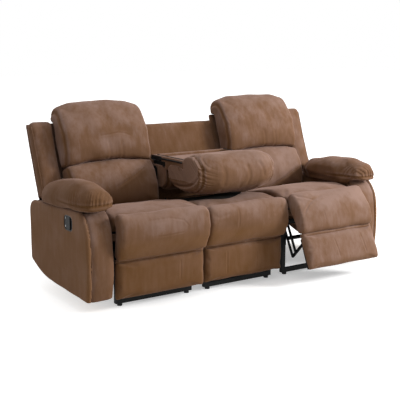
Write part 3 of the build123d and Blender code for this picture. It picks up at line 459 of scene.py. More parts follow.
def pleats(piece, seam, look, travel, strength=1):
    # Gathers that start at a seam: ridges that follow each other by travel and fade over their reach
    points, outward = pointsOf(piece), normalsOf(piece)
    gap = seamDistance(points, [seam])
    rng = np.random.default_rng(look["seed"])
    count = 90  # enough for the longest seam
    starts = np.cumsum(rng.uniform(0.6, 1.5, count)) * look["spacing"]
    starts += travel.min() - look["spacing"]
    heights = rng.uniform(0.45, 1.0, count)
    reaches = rng.uniform(0.5, 1.25, count) * look["reach"]
    index = np.clip(np.searchsorted(starts, travel), 1, count - 1)
    left, right = starts[index - 1], starts[index]
    phase = np.clip((travel - left) / np.maximum(right - left, 1e-6), 0, 1)
    ridge = np.sin(math.pi * phase) ** 0.8 * heights[index]
    fade = np.exp(-((gap / reaches[index]) ** 1.6))
    amount = (ridge - 0.55) * look["depth"] * fade * strength
    movePoints(piece, points + outward * amount[:, None])


def seamLine(piece, seams, width, depth):
    # The sewn line itself: a narrow valley with the cover rounding over beside it, with painted shade in the
    # valley and a painted highlight beside it
    gap = seamDistance(pointsOf(piece), seams)
    pushAlong(piece, -depth * bell(gap, 0, width))
    paintNapAndShading(piece, 0.16 * bell(gap, 0.011, 0.007) - 0.2 * bell(gap, 0, 0.005))


def at(x, y, z):
    # A place given in millimetres, with y counted from the arms' front plane
    return Vector((x / 1000, y / 1000 + armFront, z / 1000))


def onBack(x, out, up):
    # A place on a reclining back: out from its frame's face and up along it, in millimetres
    foot = (645, 500)  # y and z where the frame's face starts
    lean = (math.sin(backLean), math.cos(backLean))
    return at(x, foot[0] - lean[1] * out + lean[0] * up, foot[1] + lean[0] * out + lean[1] * up)


def pipeAlong(name, piece, path, body, radius=0.0028, raised=0.0012, finish=sewnCover):
    # Piping or a strip that lies on a piece along a path, with its middle raised from the surface
    spacing = 0.012
    samples = []
    for a, b in zip(path, path[1:]):
        steps = max(2, int((b - a).length / spacing))
        samples += [a.lerp(b, i / steps) for i in range(steps)]
    samples.append(path[-1])
    line = bpy.data.curves.new(name, "CURVE")
    line.dimensions = "3D"
    line.bevel_depth = radius
    line.bevel_resolution = 3
    line.use_fill_caps = True
    spline = line.splines.new("NURBS")
    spline.points.add(len(samples) - 1)
    for point, sample in zip(spline.points, samples):
        found, place, normal, face = piece.closest_point_on_mesh(sample)
        point.co = (place + normal * raised).to_4d()
    spline.order_u = 3
    spline.use_endpoint_u = True
    cord = bpy.data.objects.new(name, line)
    scene.collection.objects.link(cord)
    line.materials.append(finish[0])
    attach(cord, body)


def endSeams(node, inset):
    # The sewn lines round a cushion's two ends, as planes across X
    low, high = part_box(node)
    return [{"point": (x, 0, 0), "normal": (1, 0, 0)} for x in (low.x + inset, high.x - inset)]


# Directions of a reclining back: up along it and out of its front face
upBack = Vector((0, math.sin(backLean), math.cos(backLean)))
outOfBack = Vector((0, -math.cos(backLean), math.sin(backLean)))
backwards, downBack = tuple(-outOfBack), tuple(-upBack)

softLooks = {}


def planSoft(name, node, body, voxel=0.0075, smoothing=4, fill=0.5, **look):
    # voxel: mesh size; rests: sides that lie on the frame; cap: how far the fill may push the cover;
    # margins: how far it may pass its solid's box in x, y and z
    look.update(node=node, body=body, voxel=voxel, smoothing=smoothing, fill=fill)
    softLooks[name] = look


for side, title, sign in sides:
    back = side + "_back"
    planSoft(
        "headrest" + title, side + "_headrest_pillow", back, voxel=0.0095, pressure=6.0, cap=0.026,
        fill=0.75, seams=endSeams(side + "_headrest_pillow", 0.007), rests=[backwards, downBack],
        seamDepth=0.002, bending=8.0, margins=(0.009, 0.01, 0.01),
    )
    planSoft(
        "lumbar" + title, side + "_lumbar_cushion", back, voxel=0.0095, pressure=5.0, cap=0.02,
        fill=0.7, seams=endSeams(side + "_lumbar_cushion", 0.006),
        rests=[backwards, tuple(upBack), (1, 0, 0), (-1, 0, 0)], seamDepth=0.002,
        margins=(0.003, 0.008, 0.003),
    )
    planSoft(
        "armPad" + title, side + "_arm_pad", "root", voxel=0.008, smoothing=6, pressure=6.0,
        cap=0.024, fill=0.8, rests=[(0, 0, -1)], bending=6.0,
        margins=(0.02 if side == "left" else 0.036, 0.02, 0.045 if side == "left" else 0.0),
    )
    planSoft(
        "wing" + title, side + "_wing", back, pressure=5.0, cap=0.011, rests=[backwards],
        margins=(0.008, 0.008, 0.0),
    )
    planSoft(
        "armFront" + title, side + "_arm_front", "root", pressure=5.0, cap=0.012, rests=[(0, 1, 0)],
        margins=(0.003, 0.012, 0.003),
    )
    planSoft(
        "outerBack" + title, side + "_outer_back", back, voxel=0.006, smoothing=2, cap=0.004,
        fill=0.3, rests=[tuple(outOfBack)], margins=(0.003, 0.005, 0.003),
    )
    planSoft(
        "armOuter" + title, side + "_arm_outer_panel", "root", voxel=0.006, smoothing=2, cap=0.005,
        fill=0.3, rests=[(-sign, 0, 0)], margins=(0.006, 0.002, 0.002),
    )


def turned(x, y, z, angle):
    # A direction carried along by a footrest that opens by an angle
    return (x, y * math.cos(angle) + z * math.sin(angle), z * math.cos(angle) - y * math.sin(angle))


for place, body, tilt in (
    ("left", "left_roll", 0),
    ("middle", "root", 0),
    ("right", "right_roll", openAngle),
):
    title = place.capitalize()
    planSoft(
        "seat" + title, place + "_seat_cushion", "root", voxel=0.0095, pressure=4.0, cap=0.018,
        fill=0.7, rests=[(0, 0, -1), (0, 1, 0), (0, -1, 0), (1, 0, 0), (-1, 0, 0)],
        margins=(0.002, 0.0, 0.01),
    )
    planSoft(
        "frontRoll" + title, place + "_front_roll", body, voxel=0.0085, pressure=6.0, cap=0.026,
        fill=0.75, rests=[turned(0, 1, 0, tilt), turned(0, 0, -1, tilt), (1, 0, 0), (-1, 0, 0)],
        bending=6.0, margins=(0.008, 0.014, 0.008),
    )
for name, node, body, resting in (
    ("lowerPanelMiddle", "middle_lower_panel", "root", (0, 1, 0)),
    ("footrestPadLeft", "left_footrest_pad", "left_panel", (0, 1, 0)),
    ("footrestPadRight", "right_footrest_pad", "right_panel", (0, 0.92, -0.39)),
):
    planSoft(
        name, node, body, smoothing=3, pressure=4.5, cap=0.01, rests=[resting],
        margins=(0.003, 0.01, 0.003),
    )
planSoft(
    "consoleHeadrest", "console_headrest", "console", voxel=0.008, smoothing=5, pressure=6.0,
    cap=0.026, fill=0.75, seams=endSeams("console_headrest", 0.018), rests=[(0, 1, 0)], bending=6.0,
    margins=(0.006, 0.11, 0.007),
)
planSoft(
    "consoleLumbar", "console_lumbar", "console", voxel=0.009, pressure=5.0, cap=0.018, fill=0.7,
    seams=endSeams("console_lumbar", 0.014), rests=[(0, 0, 1)], margins=(0.006, 0.004, 0.034),
)
planSoft(
    "middleBack", "middle_back_cover", "root", smoothing=3, pressure=3.0, cap=0.007, fill=0.4,
    rests=[backwards], margins=(0.002, 0.006, 0.006),
)
for name, node, body, voxel in (
    ("consoleShell", "console_shell", "console", 0.005),
    ("rearPanel", "rear_panel", "root", 0.006),
    ("armInner", "arm_inner_panels", "root", 0.0055),
):
    margins = (0.002, 0.003, 0.002)
    planSoft(name, node, body, voxel=voxel, smoothing=2, cap=0.003, fill=0.3, margins=margins)
print("covers planned,", len(softLooks))

soft = {}
for name, look in softLooks.items():
    soft[name] = remeshed(name, look["node"], look["voxel"], look["smoothing"])
for name, axisPlace, reach, amounts in (
    ("frontRollLeft", (armFront - 0.005, 0.40), 0.085, (0.0, 0.2)),
    ("frontRollMiddle", (armFront + 0.015, 0.385), 0.085, (0.1, 0.22)),
    ("frontRollRight", (armFront - 0.06, 0.42), 0.07, (0.0, 0.05)),
    ("consoleHeadrest", (armFront + 0.19, 0.628), 0.12, (0.05, 0.16)),
):
    roundEnds(soft[name], axisPlace, reach, amounts, name != "consoleHeadrest")


# Covers that are cut fuller or tighter than their solids
def reshape(name, change):
    # A change works on x, y and z in place, with y counted from the arms' front plane
    origin = np.array((0, armFront, 0))
    points = pointsOf(soft[name]) - origin
    change(*points.T)
    movePoints(soft[name], points + origin)


def shapeArmPad(title, sign):
    # Overstuffed: the inner side hangs down and leans in beside the seat, and the front swells out
    # over the arm, most of all at its inner corner; the right pad is lower and wider over the seat
    look = {"hang": 0.038, "lean": 0.013, "swell": 0.016, "corner": 0.02}
    rightLook = {"outerTrim": 0.026, "overSeat": 0.032, "foot": 0.5045, "height": 0.87}

    def change(x, y, z):
        inner = falling(np.abs(x), 0.885, 0.04)
        behind = rising(y, 0.03, 0.08)
        z -= look["hang"] * inner * falling(z, 0.60, 0.07) * behind
        lean = falling(z, 0.66, 0.06) * falling(y, 0.47, 0.06) * behind
        x -= sign * look["lean"] * inner * lean
        front = falling(y, 0.11, 0.1) * rising(z, 0.52, 0.03)
        y -= look["swell"] * front
        x -= sign * look["corner"] * front * falling(np.abs(x), 0.91, 0.06)
        if title == "Right":
            x -= rightLook["outerTrim"] * rising(x, 0.955, 0.05) * falling(y, 0.25, 0.15)
            bulge = rising(z, 0.535, 0.02) * falling(z, 0.655, 0.02) * rising(y, 0.1, 0.1)
            x -= rightLook["overSeat"] * inner * bulge
            z[:] = rightLook["foot"] + (z - rightLook["foot"]) * rightLook["height"]

    reshape("armPad" + title, change)


def shapeWing(title, sign):
    # A wing closes up to the headrest beside it
    look = {"closes": 0.009}

    def change(x, y, z):
        x -= sign * look["closes"] * falling(np.abs(x), 0.885, 0.03)

    reshape("wing" + title, change)


def shapeLeftRoll(x, y, z):
    # The left roll's shoulder fills the corner beside the arm
    look = {"outward": 0.008, "upward": 0.008, "backward": 0.01}
    corner = falling(x, -0.765, 0.06) * rising(z, 0.42, 0.06)
    x -= look["outward"] * corner
    z += look["upward"] * corner
    y += look["backward"] * corner * rising(y, -0.03, 0.04)


def shapeRightLumbar(x, y, z):
    # The right lumbar cushion gives way to the arm pad beside it
    look = {"givesWay": 0.016}
    x -= look["givesWay"] * rising(x, 0.79, 0.03) * falling(z, 0.67, 0.03)


def shapeConsoleHeadrest(x, y, z):
    # Folded, it reaches back under the shell; its end flaps stand out and up beside the lumbar cushion
    look = {"reachBack": 0.095, "solidTop": 0.748, "top": 0.752, "height": 0.93}
    look.update({"flapOut": 0.01, "flapUp": 0.03})
    y += look["reachBack"] * rising(y, 0.18, 0.13) * falling(z, 0.645, 0.03)
    z[:] = look["top"] - (look["solidTop"] - z) * look["height"]
    flaps = rising(np.abs(x), 0.236, 0.016)
    x += np.sign(x) * look["flapOut"] * flaps
    z += look["flapUp"] * flaps * rising(y, 0.24, 0.05) * rising(z, 0.57, 0.05)


def shapeConsoleLumbar(x, y, z):
    # Folded, it is pressed together behind the headrest, up to the shell's rear end
    look = {"rear": 0.592, "length": 0.61, "flapOut": 0.01, "flapUp": 0.03}
    y[:] = look["rear"] - (look["rear"] - y) * look["length"]
    flaps = rising(np.abs(x), 0.24, 0.016)
    x += np.sign(x) * look["flapOut"] * flaps
    z += look["flapUp"] * flaps * rising(z, 0.58, 0.04)


def shapeSeat(x, y, z):
    # A seat gives towards its back edge, where people sit
    look = {"gives": 0.026}
    z -= look["gives"] * rising(y, 0.10, 0.30) * np.clip((z - 0.42) / 0.06, 0, 1)


for side, title, sign in sides:
    shapeArmPad(title, sign)
    shapeWing(title, sign)
reshape("frontRollLeft", shapeLeftRoll)
reshape("lumbarRight", shapeRightLumbar)
reshape("consoleHeadrest", shapeConsoleHeadrest)
reshape("consoleLumbar", shapeConsoleLumbar)
for place in ("Left", "Middle", "Right"):
    roundEnds(soft["seat" + place], (armFront + 0.3, 0.42), 0.06, (0.08, 0.08), True)
    reshape("seat" + place, shapeSeat)
print("soft pieces remeshed and shaped,", len(soft))


def looseShare(piece):
    return 1 - np.array([sum(g.weight for g in v.groups) for v in piece.data.vertices])


filled = [name for name, look in softLooks.items() if "pressure" in look]
simulated = filled
before = {}
for name, piece in soft.items():
    prepareFill(piece, softLooks[name], simulate=name in simulated)
    if name in simulated:
        # The smoothing took some of the form; the fill starts from what the cover was cut to
        pushAlong(piece, 0.3 * softLooks[name]["cap"] * looseShare(piece))
    before[name] = pointsOf(piece)
if simulated:
    for step in range(1, fillSteps + 1):
        scene.frame_set(step)
    for name in simulated:
        reached = applyFill(soft[name], before[name], softLooks[name]["cap"])
        print("filled", name, "moved up to", round(reached * 1000), "mm")
    scene.frame_set(1)
for name, piece in soft.items():
    look = softLooks[name]
    if name not in simulated:
        crown = 0.65 if name in filled else 0.8
        pushAlong(piece, crown * look["cap"] * looseShare(piece))
    piece.vertex_groups.clear()
    if name in filled:
        refine(piece)
    keepInside(piece, look["node"], look["margins"])
    if name.startswith("headrest"):
        # The console turns up between the headrests, so their inner sides stay clear of it
        consoleClear = 0.2778
        points = pointsOf(piece)
        points[:, 0] = np.sign(points[:, 0]) * np.maximum(np.abs(points[:, 0]), consoleClear)
        movePoints(piece, points)
    if "seams" in look:
        seamLine(piece, look["seams"], 0.0035, 0.003)
print("covers filled")


# Folds, gathers and hand marks; lines on a cover are (x, z), and beside them the cover is painted paler and
# darker: brushed pile in hand marks, painted light and shade by folds and seams
def markHeadrest(title, sign):
    # Small puckers where the crown is sewn to the end gussets, and two pulled folds
    look = {"spacing": 0.015, "reach": 0.022, "depth": 0.0026, "seed": 11 + sign}
    pillow = soft["headrest" + title]
    for seam in softLooks["headrest" + title]["seams"]:
        x, y, z = pointsOf(pillow).T
        pleats(pillow, seam, look, z - y, 0.5 + 0.5 * np.sin(z * 23.0 + sign))
    foot = onBack(0, 0, 165).z
    for x in (sign * 0.56, sign * 0.56 + 0.08):
        crease(pillow, [(x - 0.01, foot + 0.17), (x, foot + 0.04)], 0.008, 0.0013)


def markLumbar(title):
    # One diagonal fold from the outer low corner, paler above it and darker below it
    look = {
        "Left": [(-0.585, 0.553), (-0.48, 0.6), (-0.345, 0.662)],
        "Right": [(0.51, 0.452), (0.62, 0.5), (0.79, 0.582)],
        "width": 0.007,
        "depth": 0.0024,
        "foldContrast": 0.15,
    }
    pad, fold = soft["lumbar" + title], look[title]
    crease(pad, fold, look["width"], look["depth"])
    x, y, z = pointsOf(pad).T
    gap, along, length = nearPath(x, z, fold)
    above = np.where(z > np.interp(x, *zip(*fold)), 1.0, -0.35) * np.exp(-gap / 0.07)
    paintNapAndShading(pad, look["foldContrast"] * above * rising(along, 0, 0.05) * falling(along, length, 0.03))
    # Painted shade on the left cushion and painted light on the right one
    paintNapAndShading(pad, -0.05 if title == "Left" else 0.06)


def markArmPad(title, sign):
    # Gathered into a low seam round its front, with a plain band under it; painted shade in the seam and a painted
    # highlight beside it, and the whole pad painted darker, the left one most
    look = {
        "bandTop": 0.564 if title == "Left" else 0.552,
        "spacing": 0.0175,
        "reach": 0.085,
        "depth": 0.009,
        "seed": 5 + sign,
        "seamDepth": 0.0045,
        "nap": -0.19 if title == "Left" else -0.08,
    }
    pad, bandTop = soft["armPad" + title], look["bandTop"]
    x, y, z = pointsOf(pad).T
    shows = falling(y, armFront + 0.150, 0.07) * rising(z, bandTop - 0.003, 0.01)
    shows *= falling(normalsOf(pad)[:, 2], 0.9, 0.5)
    pleats(pad, {"point": (0, 0, bandTop), "normal": (0, 0, 1)}, look, -sign * x - y, shows)
    x, y, z = pointsOf(pad).T
    gap, front = np.abs(z - bandTop), falling(y, armFront + 0.30, 0.12)
    pushAlong(pad, -look["seamDepth"] * bell(gap, 0, 0.005) * front)
    paintNapAndShading(pad, (0.18 * bell(gap, 0.012, 0.008) - 0.2 * bell(gap, 0, 0.006)) * front)
    paintNapAndShading(pad, look["nap"])


def markArmSides(title):
    # The outer panel is painted paler towards its top and golden, as painted light and shade; the front is painted
    # darker, with a painted highlight along its welt and towards its top
    look = {"welt": 0.9795, "nap": -0.05 if title == "Left" else -0.1}
    panel, front = soft["armOuter" + title], soft["armFront" + title]
    x, y, z = pointsOf(panel).T
    paintNapAndShading(panel, 0.02 + 0.09 * rising(z, 0.36, 0.12))
    paintLightingTint(panel, 0.45)
    x, y, z = pointsOf(front).T
    edge = np.abs(np.abs(x) - look["welt"])
    paintNapAndShading(front, look["nap"])
    paintNapAndShading(front, 0.12 * bell(edge, 0, 0.03) + 0.1 * rising(z, 0.34, 0.1))


def outlineLeftHeadrest():
    # A brushed outline across the middle of the left headrest
    look = {"outline": [(-0.63, 0.845), (-0.5, 0.858), (-0.45, 0.85), (-0.41, 0.83)]}
    pillow, outline = soft["headrestLeft"], look["outline"]
    crease(pillow, outline, 0.004, 0.0012)
    x, y, z = pointsOf(pillow).T
    over = z - np.interp(x, *zip(*outline))
    inside = rising(x, -0.64, 0.04) * falling(x, -0.38, 0.04)
    paintNapAndShading(pillow, -0.08 * inside * bell(over, 0.02, 0.03))
    paintNapAndShading(pillow, 0.07 * inside * bell(over, -0.04, 0.05))


def markFrontRolls():
    # Left: a long oval hand mark, whose outline is a faint line in the pile. Middle: one upright line
    # off its middle, and short folds at its two upper corners. Right: pulled folds at its inner upper
    # corner, where the cover turns with the footrest
    look = {
        "oval": [(-0.69, 0.468), (-0.556, 0.474), (-0.464, 0.452), (-0.436, 0.42), (-0.464, 0.388)]
        + [(-0.58, 0.382), (-0.665, 0.384)],
        "ovalNap": 0.15,
        "upright": [(-0.092, 0.475), (-0.091, 0.36)],
        "leftCorner": [(-0.24, 0.43), (-0.2, 0.438), (-0.14, 0.45)],
        "rightCorner": [(0.155, 0.405), (0.19, 0.43), (0.215, 0.455)],
        "longPull": [(0.3, 0.40), (0.364, 0.455), (0.41, 0.474), (0.495, 0.486)],
        "topPull": [(0.3, 0.498), (0.35, 0.492), (0.42, 0.47)],
        "shortPull": [(0.452, 0.42), (0.456, 0.36)],
    }
    left, middle, right = (soft["frontRoll" + place] for place in ("Left", "Middle", "Right"))
    crease(left, look["oval"], 0.004, 0.0012)
    x, y, z = pointsOf(left).T
    inOval = np.exp(-(((x + 0.565) / 0.12) ** 4) - ((z - 0.428) / 0.042) ** 4)
    paintNapAndShading(left, look["ovalNap"] * inOval * (y < armFront - 0.01))
    crease(middle, look["upright"], 0.0045, 0.0016)
    crease(middle, look["leftCorner"], 0.008, 0.0014)
    crease(middle, look["rightCorner"], 0.008, 0.0016)
    upFront = (0, -0.7, 0.7)
    crease(right, look["longPull"], 0.006, 0.003, facing=upFront)
    crease(right, look["topPull"], 0.005, 0.0024, facing=upFront)
    crease(right, look["shortPull"], 0.004, 0.0016, facing=upFront)
    # Painted light and shade: the left and middle rolls are painted paler on top and darker and golden low at the
    # front; the right roll is painted paler on top
    for roll in (left, middle):
        x, y, z = pointsOf(roll).T
        paintNapAndShading(roll, 0.07 * rising(z, 0.40, 0.07) - 0.05 * falling(z, 0.38, 0.08))
        paintLightingTint(roll, 0.35 * falling(z, 0.40, 0.08))
    paintNapAndShading(right, 0.1 * rising(pointsOf(right)[:, 2], 0.40, 0.07) + 0.02)


def markLowerPanels():
    # Upright marks left by folding; each panel is also painted darker and golden as painted shade, and the right
    # footrest paler as painted light
    for name, lines, nap, warm in (
        ("lowerPanelMiddle", [(-0.131, 0.235, -0.13, 0.085), (0.08, 0.2, 0.075, 0.1)], -0.15, 0.15),
        ("footrestPadRight", [(0.497, 0.262, 0.515, 0.14), (0.705, 0.262, 0.725, 0.14)], 0.05, 0.0),
        ("footrestPadLeft", [(-0.45, 0.235, -0.452, 0.11)], -0.15, 0.15),
    ):
        for topX, topZ, lowX, lowZ in lines:
            crease(soft[name], [(topX, topZ), (lowX, lowZ)], 0.0045, 0.0015)
        paintNapAndShading(soft[name], nap)
        paintLightingTint(soft[name], warm)


def markConsole():
    # The headrest's ends are boxed, with a curved seam round each end and gathers beside it; a few
    # soft folds cross its front. Lines on the ends are (y from the arms' front plane, z)
    look = {
        "band": [(0.41, 0.575), (0.33, 0.566), (0.27, 0.564), (0.213, 0.571), (0.165, 0.583)]
        + [(0.125, 0.604), (0.1, 0.63), (0.087, 0.66), (0.085, 0.69), (0.092, 0.72)],
        "bandWidth": 0.007,
        "bandDepth": 0.0045,
        "gathers": {"spacing": 0.017, "reach": 0.05, "depth": 0.006, "seed": 23},
        "lumbarGathers": {"spacing": 0.017, "reach": 0.03, "depth": 0.003, "seed": 29},
        "longFold": [(0.035, 0.70), (0.052, 0.66), (0.056, 0.62), (0.045, 0.57)],
        "leftFold": [(-0.125, 0.70), (-0.112, 0.64), (-0.12, 0.57)],
        "rightFold": [(0.12, 0.71), (0.15, 0.66), (0.155, 0.61)],
    }
    headrest, lumbar = soft["consoleHeadrest"], soft["consoleLumbar"]
    band = [(y + armFront, z) for y, z in look["band"]]
    for end in (-1, 1):
        crease(headrest, band, look["bandWidth"], look["bandDepth"], (1, 2), (end, 0, 0), rise=0.4)
    x, y, z = pointsOf(headrest).T
    gap, along, length = nearPath(y, z, band)
    # Painted light on the ends: their inner part is painted paler and golden, the rest painted darker, with a
    # painted highlight beside the band
    inner = (z > 0.6) & (y > armFront + 0.1)
    ends = rising(np.abs(normalsOf(headrest)[:, 0]), 0.5, 0.3)
    paintLightingTint(headrest, 0.3 * inner * ends)
    paintNapAndShading(headrest, -0.12 * ends * (1 - inner))
    paintNapAndShading(headrest, 0.55 * inner * ends + 0.16 * bell(gap, 0.012, 0.009) * ends)
    for seam in softLooks["consoleHeadrest"]["seams"]:
        x, y, z = pointsOf(headrest).T
        pleats(headrest, seam, look["gathers"], z - y, 1 - 0.6 * (x > 0))
    crease(headrest, look["longFold"], 0.011, 0.002)
    crease(headrest, look["leftFold"], 0.012, 0.0018)
    crease(headrest, look["rightFold"], 0.01, 0.0018)
    for seam in softLooks["consoleLumbar"]["seams"]:
        x, y, z = pointsOf(lumbar).T
        pleats(lumbar, seam, look["lumbarGathers"], y + z)


for number, (name, piece) in enumerate(soft.items()):
    # No cushion is filled evenly
    depth = min(0.0026, 0.12 * softLooks[name]["cap"])
    pushAlong(piece, waves(pointsOf(piece), 40 + number, 0.16, depth))
for side, title, sign in sides:
    markHeadrest(title, sign)
    markLumbar(title)
    markArmPad(title, sign)
    markArmSides(title)
outlineLeftHeadrest()
markFrontRolls()
markLowerPanels()
markConsole()
paintNapAndShading(soft["middleBack"], -0.12)
for name, piece in soft.items():
    look = softLooks[name]
    finishSoft(piece, look["body"], look["node"])
print("folds, gathers and hand marks made")


# Fabric between the cushions, piping and the console's trims
def newPiece(name, shell, body, finish):
    mesh = bpy.data.meshes.new(name)
    bmesh.ops.recalc_face_normals(shell, faces=shell.faces)
    shell.to_mesh(mesh)
    shell.free()
    mesh.polygons.foreach_set("use_smooth", np.ones(len(mesh.polygons), bool))
    mesh.materials.append(finish[0])
    piece = bpy.data.objects.new(name, mesh)
    scene.collection.objects.link(piece)
    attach(piece, body)
    return piece


def seamRoll(name, body, centre):
    # The tucked roll of cover between a front roll and its lower panel, on the line they fold about
    look = {"radius": 0.0135, "halfWidth": 0.268, "tuck": 0.008, "rings": 30}
    radius, halfWidth = look["radius"], look["halfWidth"]
    shell = bmesh.new()
    bmesh.ops.create_cone(
        shell, cap_ends=True, segments=20, radius1=radius, radius2=radius, depth=2 * halfWidth
    )
    bmesh.ops.rotate(shell, verts=shell.verts, matrix=Matrix.Rotation(math.pi / 2, 3, "Y"))
    lengthwise = [e for e in shell.edges if abs(e.verts[0].co.x - e.verts[1].co.x) > halfWidth]
    bmesh.ops.subdivide_edges(shell, edges=lengthwise, cuts=look["rings"], use_grid_fill=True)
    for point in shell.verts:
        endShare = smoothStep((halfWidth - abs(point.co.x)) / look["tuck"])
        swell = (0.7 + 0.3 * endShare) * (1 + 0.06 * math.sin(point.co.x * 90 + 1.3))
        point.co.y *= swell
        point.co.z *= swell
    bmesh.ops.translate(shell, verts=shell.verts, vec=centre)
    newPiece(name, shell, body, sewnCover)


def stitchedCloth(name, place, ends, rows, body, finish, cuts, sag, thick=0.0016):
    # A stitched-in cloth, slack in its middle and given its real thickness; place(end, row) says
    # where each of its four corners is
    shell = bmesh.new()
    bmesh.ops.create_grid(shell, x_segments=cuts[0], y_segments=cuts[1], size=0.5)
    a, b = (place(end, rows[0]) for end in ends)
    d, c = (place(end, rows[1]) for end in ends)
    out = (b - a).cross(d - a).normalized()
    for point in shell.verts:
        u, v = point.co.x + 0.5, point.co.y + 0.5
        slack = 16 * u * (1 - u) * v * (1 - v)
        ripple = math.sin(u * 21 + 3 * v) * math.sin(math.pi * v)
        flat = a.lerp(b, u).lerp(d.lerp(c, u), v)
        point.co = flat + out * (slack * sag + ripple * sag * 0.18)
    if thick:
        bmesh.ops.solidify(shell, geom=shell.faces[:], thickness=thick)
    return newPiece(name, shell, body, finish)


def seatFrontCloth(title, sign):
    # Closes the gap behind a front roll, under the seat's front edge
    look = {"ends": (290, 828), "behind": 42, "rows": (364, 402), "sag": 0.004}

    def place(x, z):
        return at(sign * x, look["behind"], z)

    name, sag = "seatFrontCloth" + title, -sign * look["sag"]
    stitchedCloth(name, place, look["ends"], look["rows"], "root", sewnCover, (40, 6), sag)


def seatLiningAndShadow():
    # A black lining laid on the rear of the middle seat, which it is sewn to, that also reaches forward as painted
    # shadow for the shade under the folded console; its front edge is a curve
    look = {"ends": (-262, 262), "rows": (0, 456), "front": 0.118, "lifted": 0.0022}

    def place(x, y):
        return at(x, y, 600)

    name, ends, rows = "seatLiningAndShadow", look["ends"], look["rows"]
    sheet = stitchedCloth(name, place, ends, rows, "root", blackClothAndShadowSheet, (60, 40), 0.0, thick=0.0)
    points = pointsOf(sheet)
    x, y, z = points.T
    rear = look["rows"][1] / 1000
    frontEdge = look["front"] + np.minimum(0.1 * ((x + 0.07) / 0.19) ** 2, 0.2)
    y[:] = armFront + frontEdge + (y - armFront) / rear * (rear - frontEdge)
    for index, point in enumerate(points):
        found, spot, normal, face = soft["seatMiddle"].ray_cast(point, (0, 0, -1))
        points[index, 2] = spot.z + look["lifted"] if found else 0.47
    movePoints(sheet, points)


def wingGapShadow(title, sign, body):
    # A black sheet at the foot of the wing, down to the arm's back, stands in for the shadow in the gap there:
    # painted shadow
    look = {"ends": (969, 856), "out": 5, "rows": (-2, 16), "sag": 0.001}

    def place(x, up):
        return onBack(sign * x, look["out"], up)

    name, ends, rows = "wingGapShadow" + title, look["ends"], look["rows"]
    stitchedCloth(name, place, ends, rows, body, blackClothAndShadowSheet, (10, 4), look["sag"])


def armAndWingPiping(title, sign, body):
    # The welt round the arm's front, (y, z) from its foot up, and the one along the wing's side
    look = {
        "armSide": 979,
        "armLine": [(-7, 84), (-14, 150), (-22, 245), (-12, 396), (0, 440), (18, 475), (45, 505)]
        + [(76, 522)],
        "wingSide": 969,
        "wingOut": 74,
        "wingRadius": 0.0032,
    }
    front = [at(sign * look["armSide"], y, z) for y, z in look["armLine"]]
    pipeAlong("armPiping" + title, soft["armFront" + title], front, "root")
    outer = [onBack(sign * look["wingSide"], look["wingOut"], up) for up in range(14, 430, 30)]
    pipeAlong("wingPiping" + title, soft["wing" + title], outer, body, look["wingRadius"])


def consoleSide(title, sign):
    # A moulded strip under the shell's upper edge, and a cap over the hinge arm
    look = {"stripRadius": 0.006, "sunk": -0.002, "cap": (0.007, 0.112, 0.028), "edge": 0.003}
    strip = [at(sign * 262, y, 698) for y in range(262, 500, 25)]
    name, cover = "consoleStrip" + title, soft["consoleShell"]
    pipeAlong(name, cover, strip, "console", look["stripRadius"], look["sunk"], moulded)
    shell = bmesh.new()
    bmesh.ops.create_cube(shell, size=1.0)
    bmesh.ops.scale(shell, verts=shell.verts, vec=look["cap"])
    edges, rounding = shell.edges[:], look["edge"]
    bmesh.ops.bevel(
        shell, geom=edges, offset=rounding, segments=3, profile=0.5, affect="EDGES", material=-1
    )
    bmesh.ops.translate(shell, verts=shell.verts, vec=at(sign * 266.6, 541, 697.5))
    newPiece("hingeCap" + title, shell, "console", moulded)


hinges = {joint["name"]: joint for joint in frame["joints"]}
for side, title, sign in sides:
    pivot = Vector(hinges[side + "_panel_fold"]["pos_m"])
    tucked = Vector(turned(0, 0.015, 0, 0 if side == "left" else openAngle))
    seamRoll("seamRoll" + title, side + "_roll", pivot + tucked)
seamRoll("seamRollMiddle", "root", at(0, 36, 260))
for side, title, sign in sides:
    seatFrontCloth(title, sign)
seatLiningAndShadow()
for side, title, sign in sides:
    wingGapShadow(title, sign, side + "_back")
for side, title, sign in sides:
    armAndWingPiping(title, sign, side + "_back")
for side, title, sign in sides:
    consoleSide(title, sign)
print("seam rolls, linings, piping and console trims made")


# Stage, light and camera
def seenAsBackground(tree):
    # 1 for rays from the camera and from reflections, 0 for the rays that light the sofa
    path = addNode(tree, "LightPath")
    links = {0: path.outputs["Is Camera Ray"], 1: path.outputs["Is Glossy Ray"]}
    return addNode(tree, "Math", {"operation": "MAXIMUM"}, links).outputs[0]


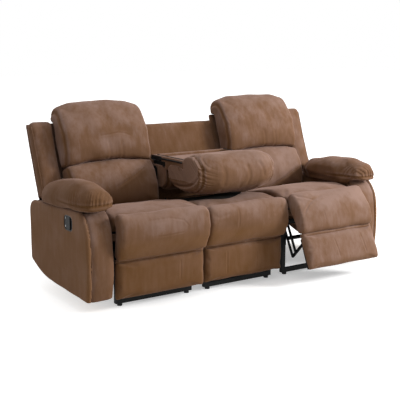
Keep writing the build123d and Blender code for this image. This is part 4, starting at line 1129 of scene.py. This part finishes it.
def makeStage():
    # A pale floor that the camera and reflections see brighter away from the sofa, where it fades
    # into a white background
    look = {
        "floor": "#e9e9e9",
        "reach": 30.0,
        "middle": (0.35, -0.3, 0.0),  # under the seats' front
        "near": 0.95,
        "far": 1.9,
        "liftNear": 0.4,
        "liftFar": 1.0,
        "worldStrength": 0.47,
    }
    sheet = bmesh.new()
    bmesh.ops.create_grid(sheet, x_segments=1, y_segments=1, size=look["reach"])
    mesh = bpy.data.meshes.new("floor")
    sheet.to_mesh(mesh)
    sheet.free()
    floor = bpy.data.objects.new("floor", mesh)
    scene.collection.objects.link(floor)
    settings = {"Roughness": 0.9, "Base Color": srgb(look["floor"]), "Specular IOR Level": 0.0}
    material, tree, shader, vector = startMaterial("paleStudioFloor", settings)
    settings = {"operation": "DISTANCE", 1: look["middle"]}
    away = addNode(tree, "VectorMath", settings, {0: vector["Vector"]})
    settings = {"From Min": look["near"], "From Max": look["far"]}
    settings.update({"To Min": look["liftNear"], "To Max": look["liftFar"]})
    ramp = addNode(tree, "MapRange", settings, {"Value": away.outputs["Value"]})
    links = {0: seenAsBackground(tree), 1: ramp.outputs["Result"]}
    lift = addNode(tree, "Math", {"operation": "MULTIPLY"}, links)
    glow = addNode(tree, "Emission", {"Color": (1, 1, 1, 1)}, {"Strength": lift.outputs[0]})
    both = addNode(tree, "AddShader", links={0: shader.outputs[0], 1: glow.outputs[0]})
    tree.links.new(both.outputs[0], tree.nodes["Material Output"].inputs["Surface"])
    mesh.materials.append(material)

    world = bpy.data.worlds.new("studio")
    scene.world = world
    world.use_nodes = True
    tree = world.node_tree
    background = tree.nodes["Background"]
    settings = {"To Min": look["worldStrength"], "To Max": 1.0}
    level = addNode(tree, "MapRange", settings, {"Value": seenAsBackground(tree)})
    background.inputs["Color"].default_value = (1, 1, 1, 1)
    tree.links.new(level.outputs[0], background.inputs["Strength"])


def addLamp(name, place, aim, size, power):
    lamp = bpy.data.lights.new(name, "AREA")
    lamp.shape = "DISK"
    lamp.size = size
    lamp.energy = power
    holder = bpy.data.objects.new(name, lamp)
    holder.location = place
    holder.rotation_euler = (Vector(aim) - Vector(place)).to_track_quat("-Z", "Y").to_euler()
    scene.collection.objects.link(holder)


def makeCamera():
    look = {
        "azimuth": -33.7502,
        "elevation": 10.5016,
        "distance": 4.8717,
        "target": (-0.1258, 0.2857 + armFront, 0.4689),
        "lens": 75.68,
    }
    turn, rise = math.radians(look["azimuth"]), math.radians(look["elevation"])
    away = Vector((math.sin(turn) * math.cos(rise), -math.cos(turn) * math.cos(rise), math.sin(rise)))
    data = bpy.data.cameras.new("camera")
    data.lens = look["lens"]
    data.sensor_width = 36.0
    data.clip_end = 60.0
    camera = bpy.data.objects.new("camera", data)
    camera.location = Vector(look["target"]) + away * look["distance"]
    camera.rotation_euler = away.to_track_quat("Z", "Y").to_euler()
    scene.collection.objects.link(camera)
    scene.camera = camera


makeStage()
addLamp("keyLamp", (3.5, -2.5, 2.2), (0.3, 0.0, 0.45), 1.4, 232)
addLamp("topLamp", (-0.6, -0.6, 3.6), (0, 0, 0.4), 2.6, 30)
makeCamera()
scene.view_settings.view_transform = "Standard"
print("stage, light and camera placed")
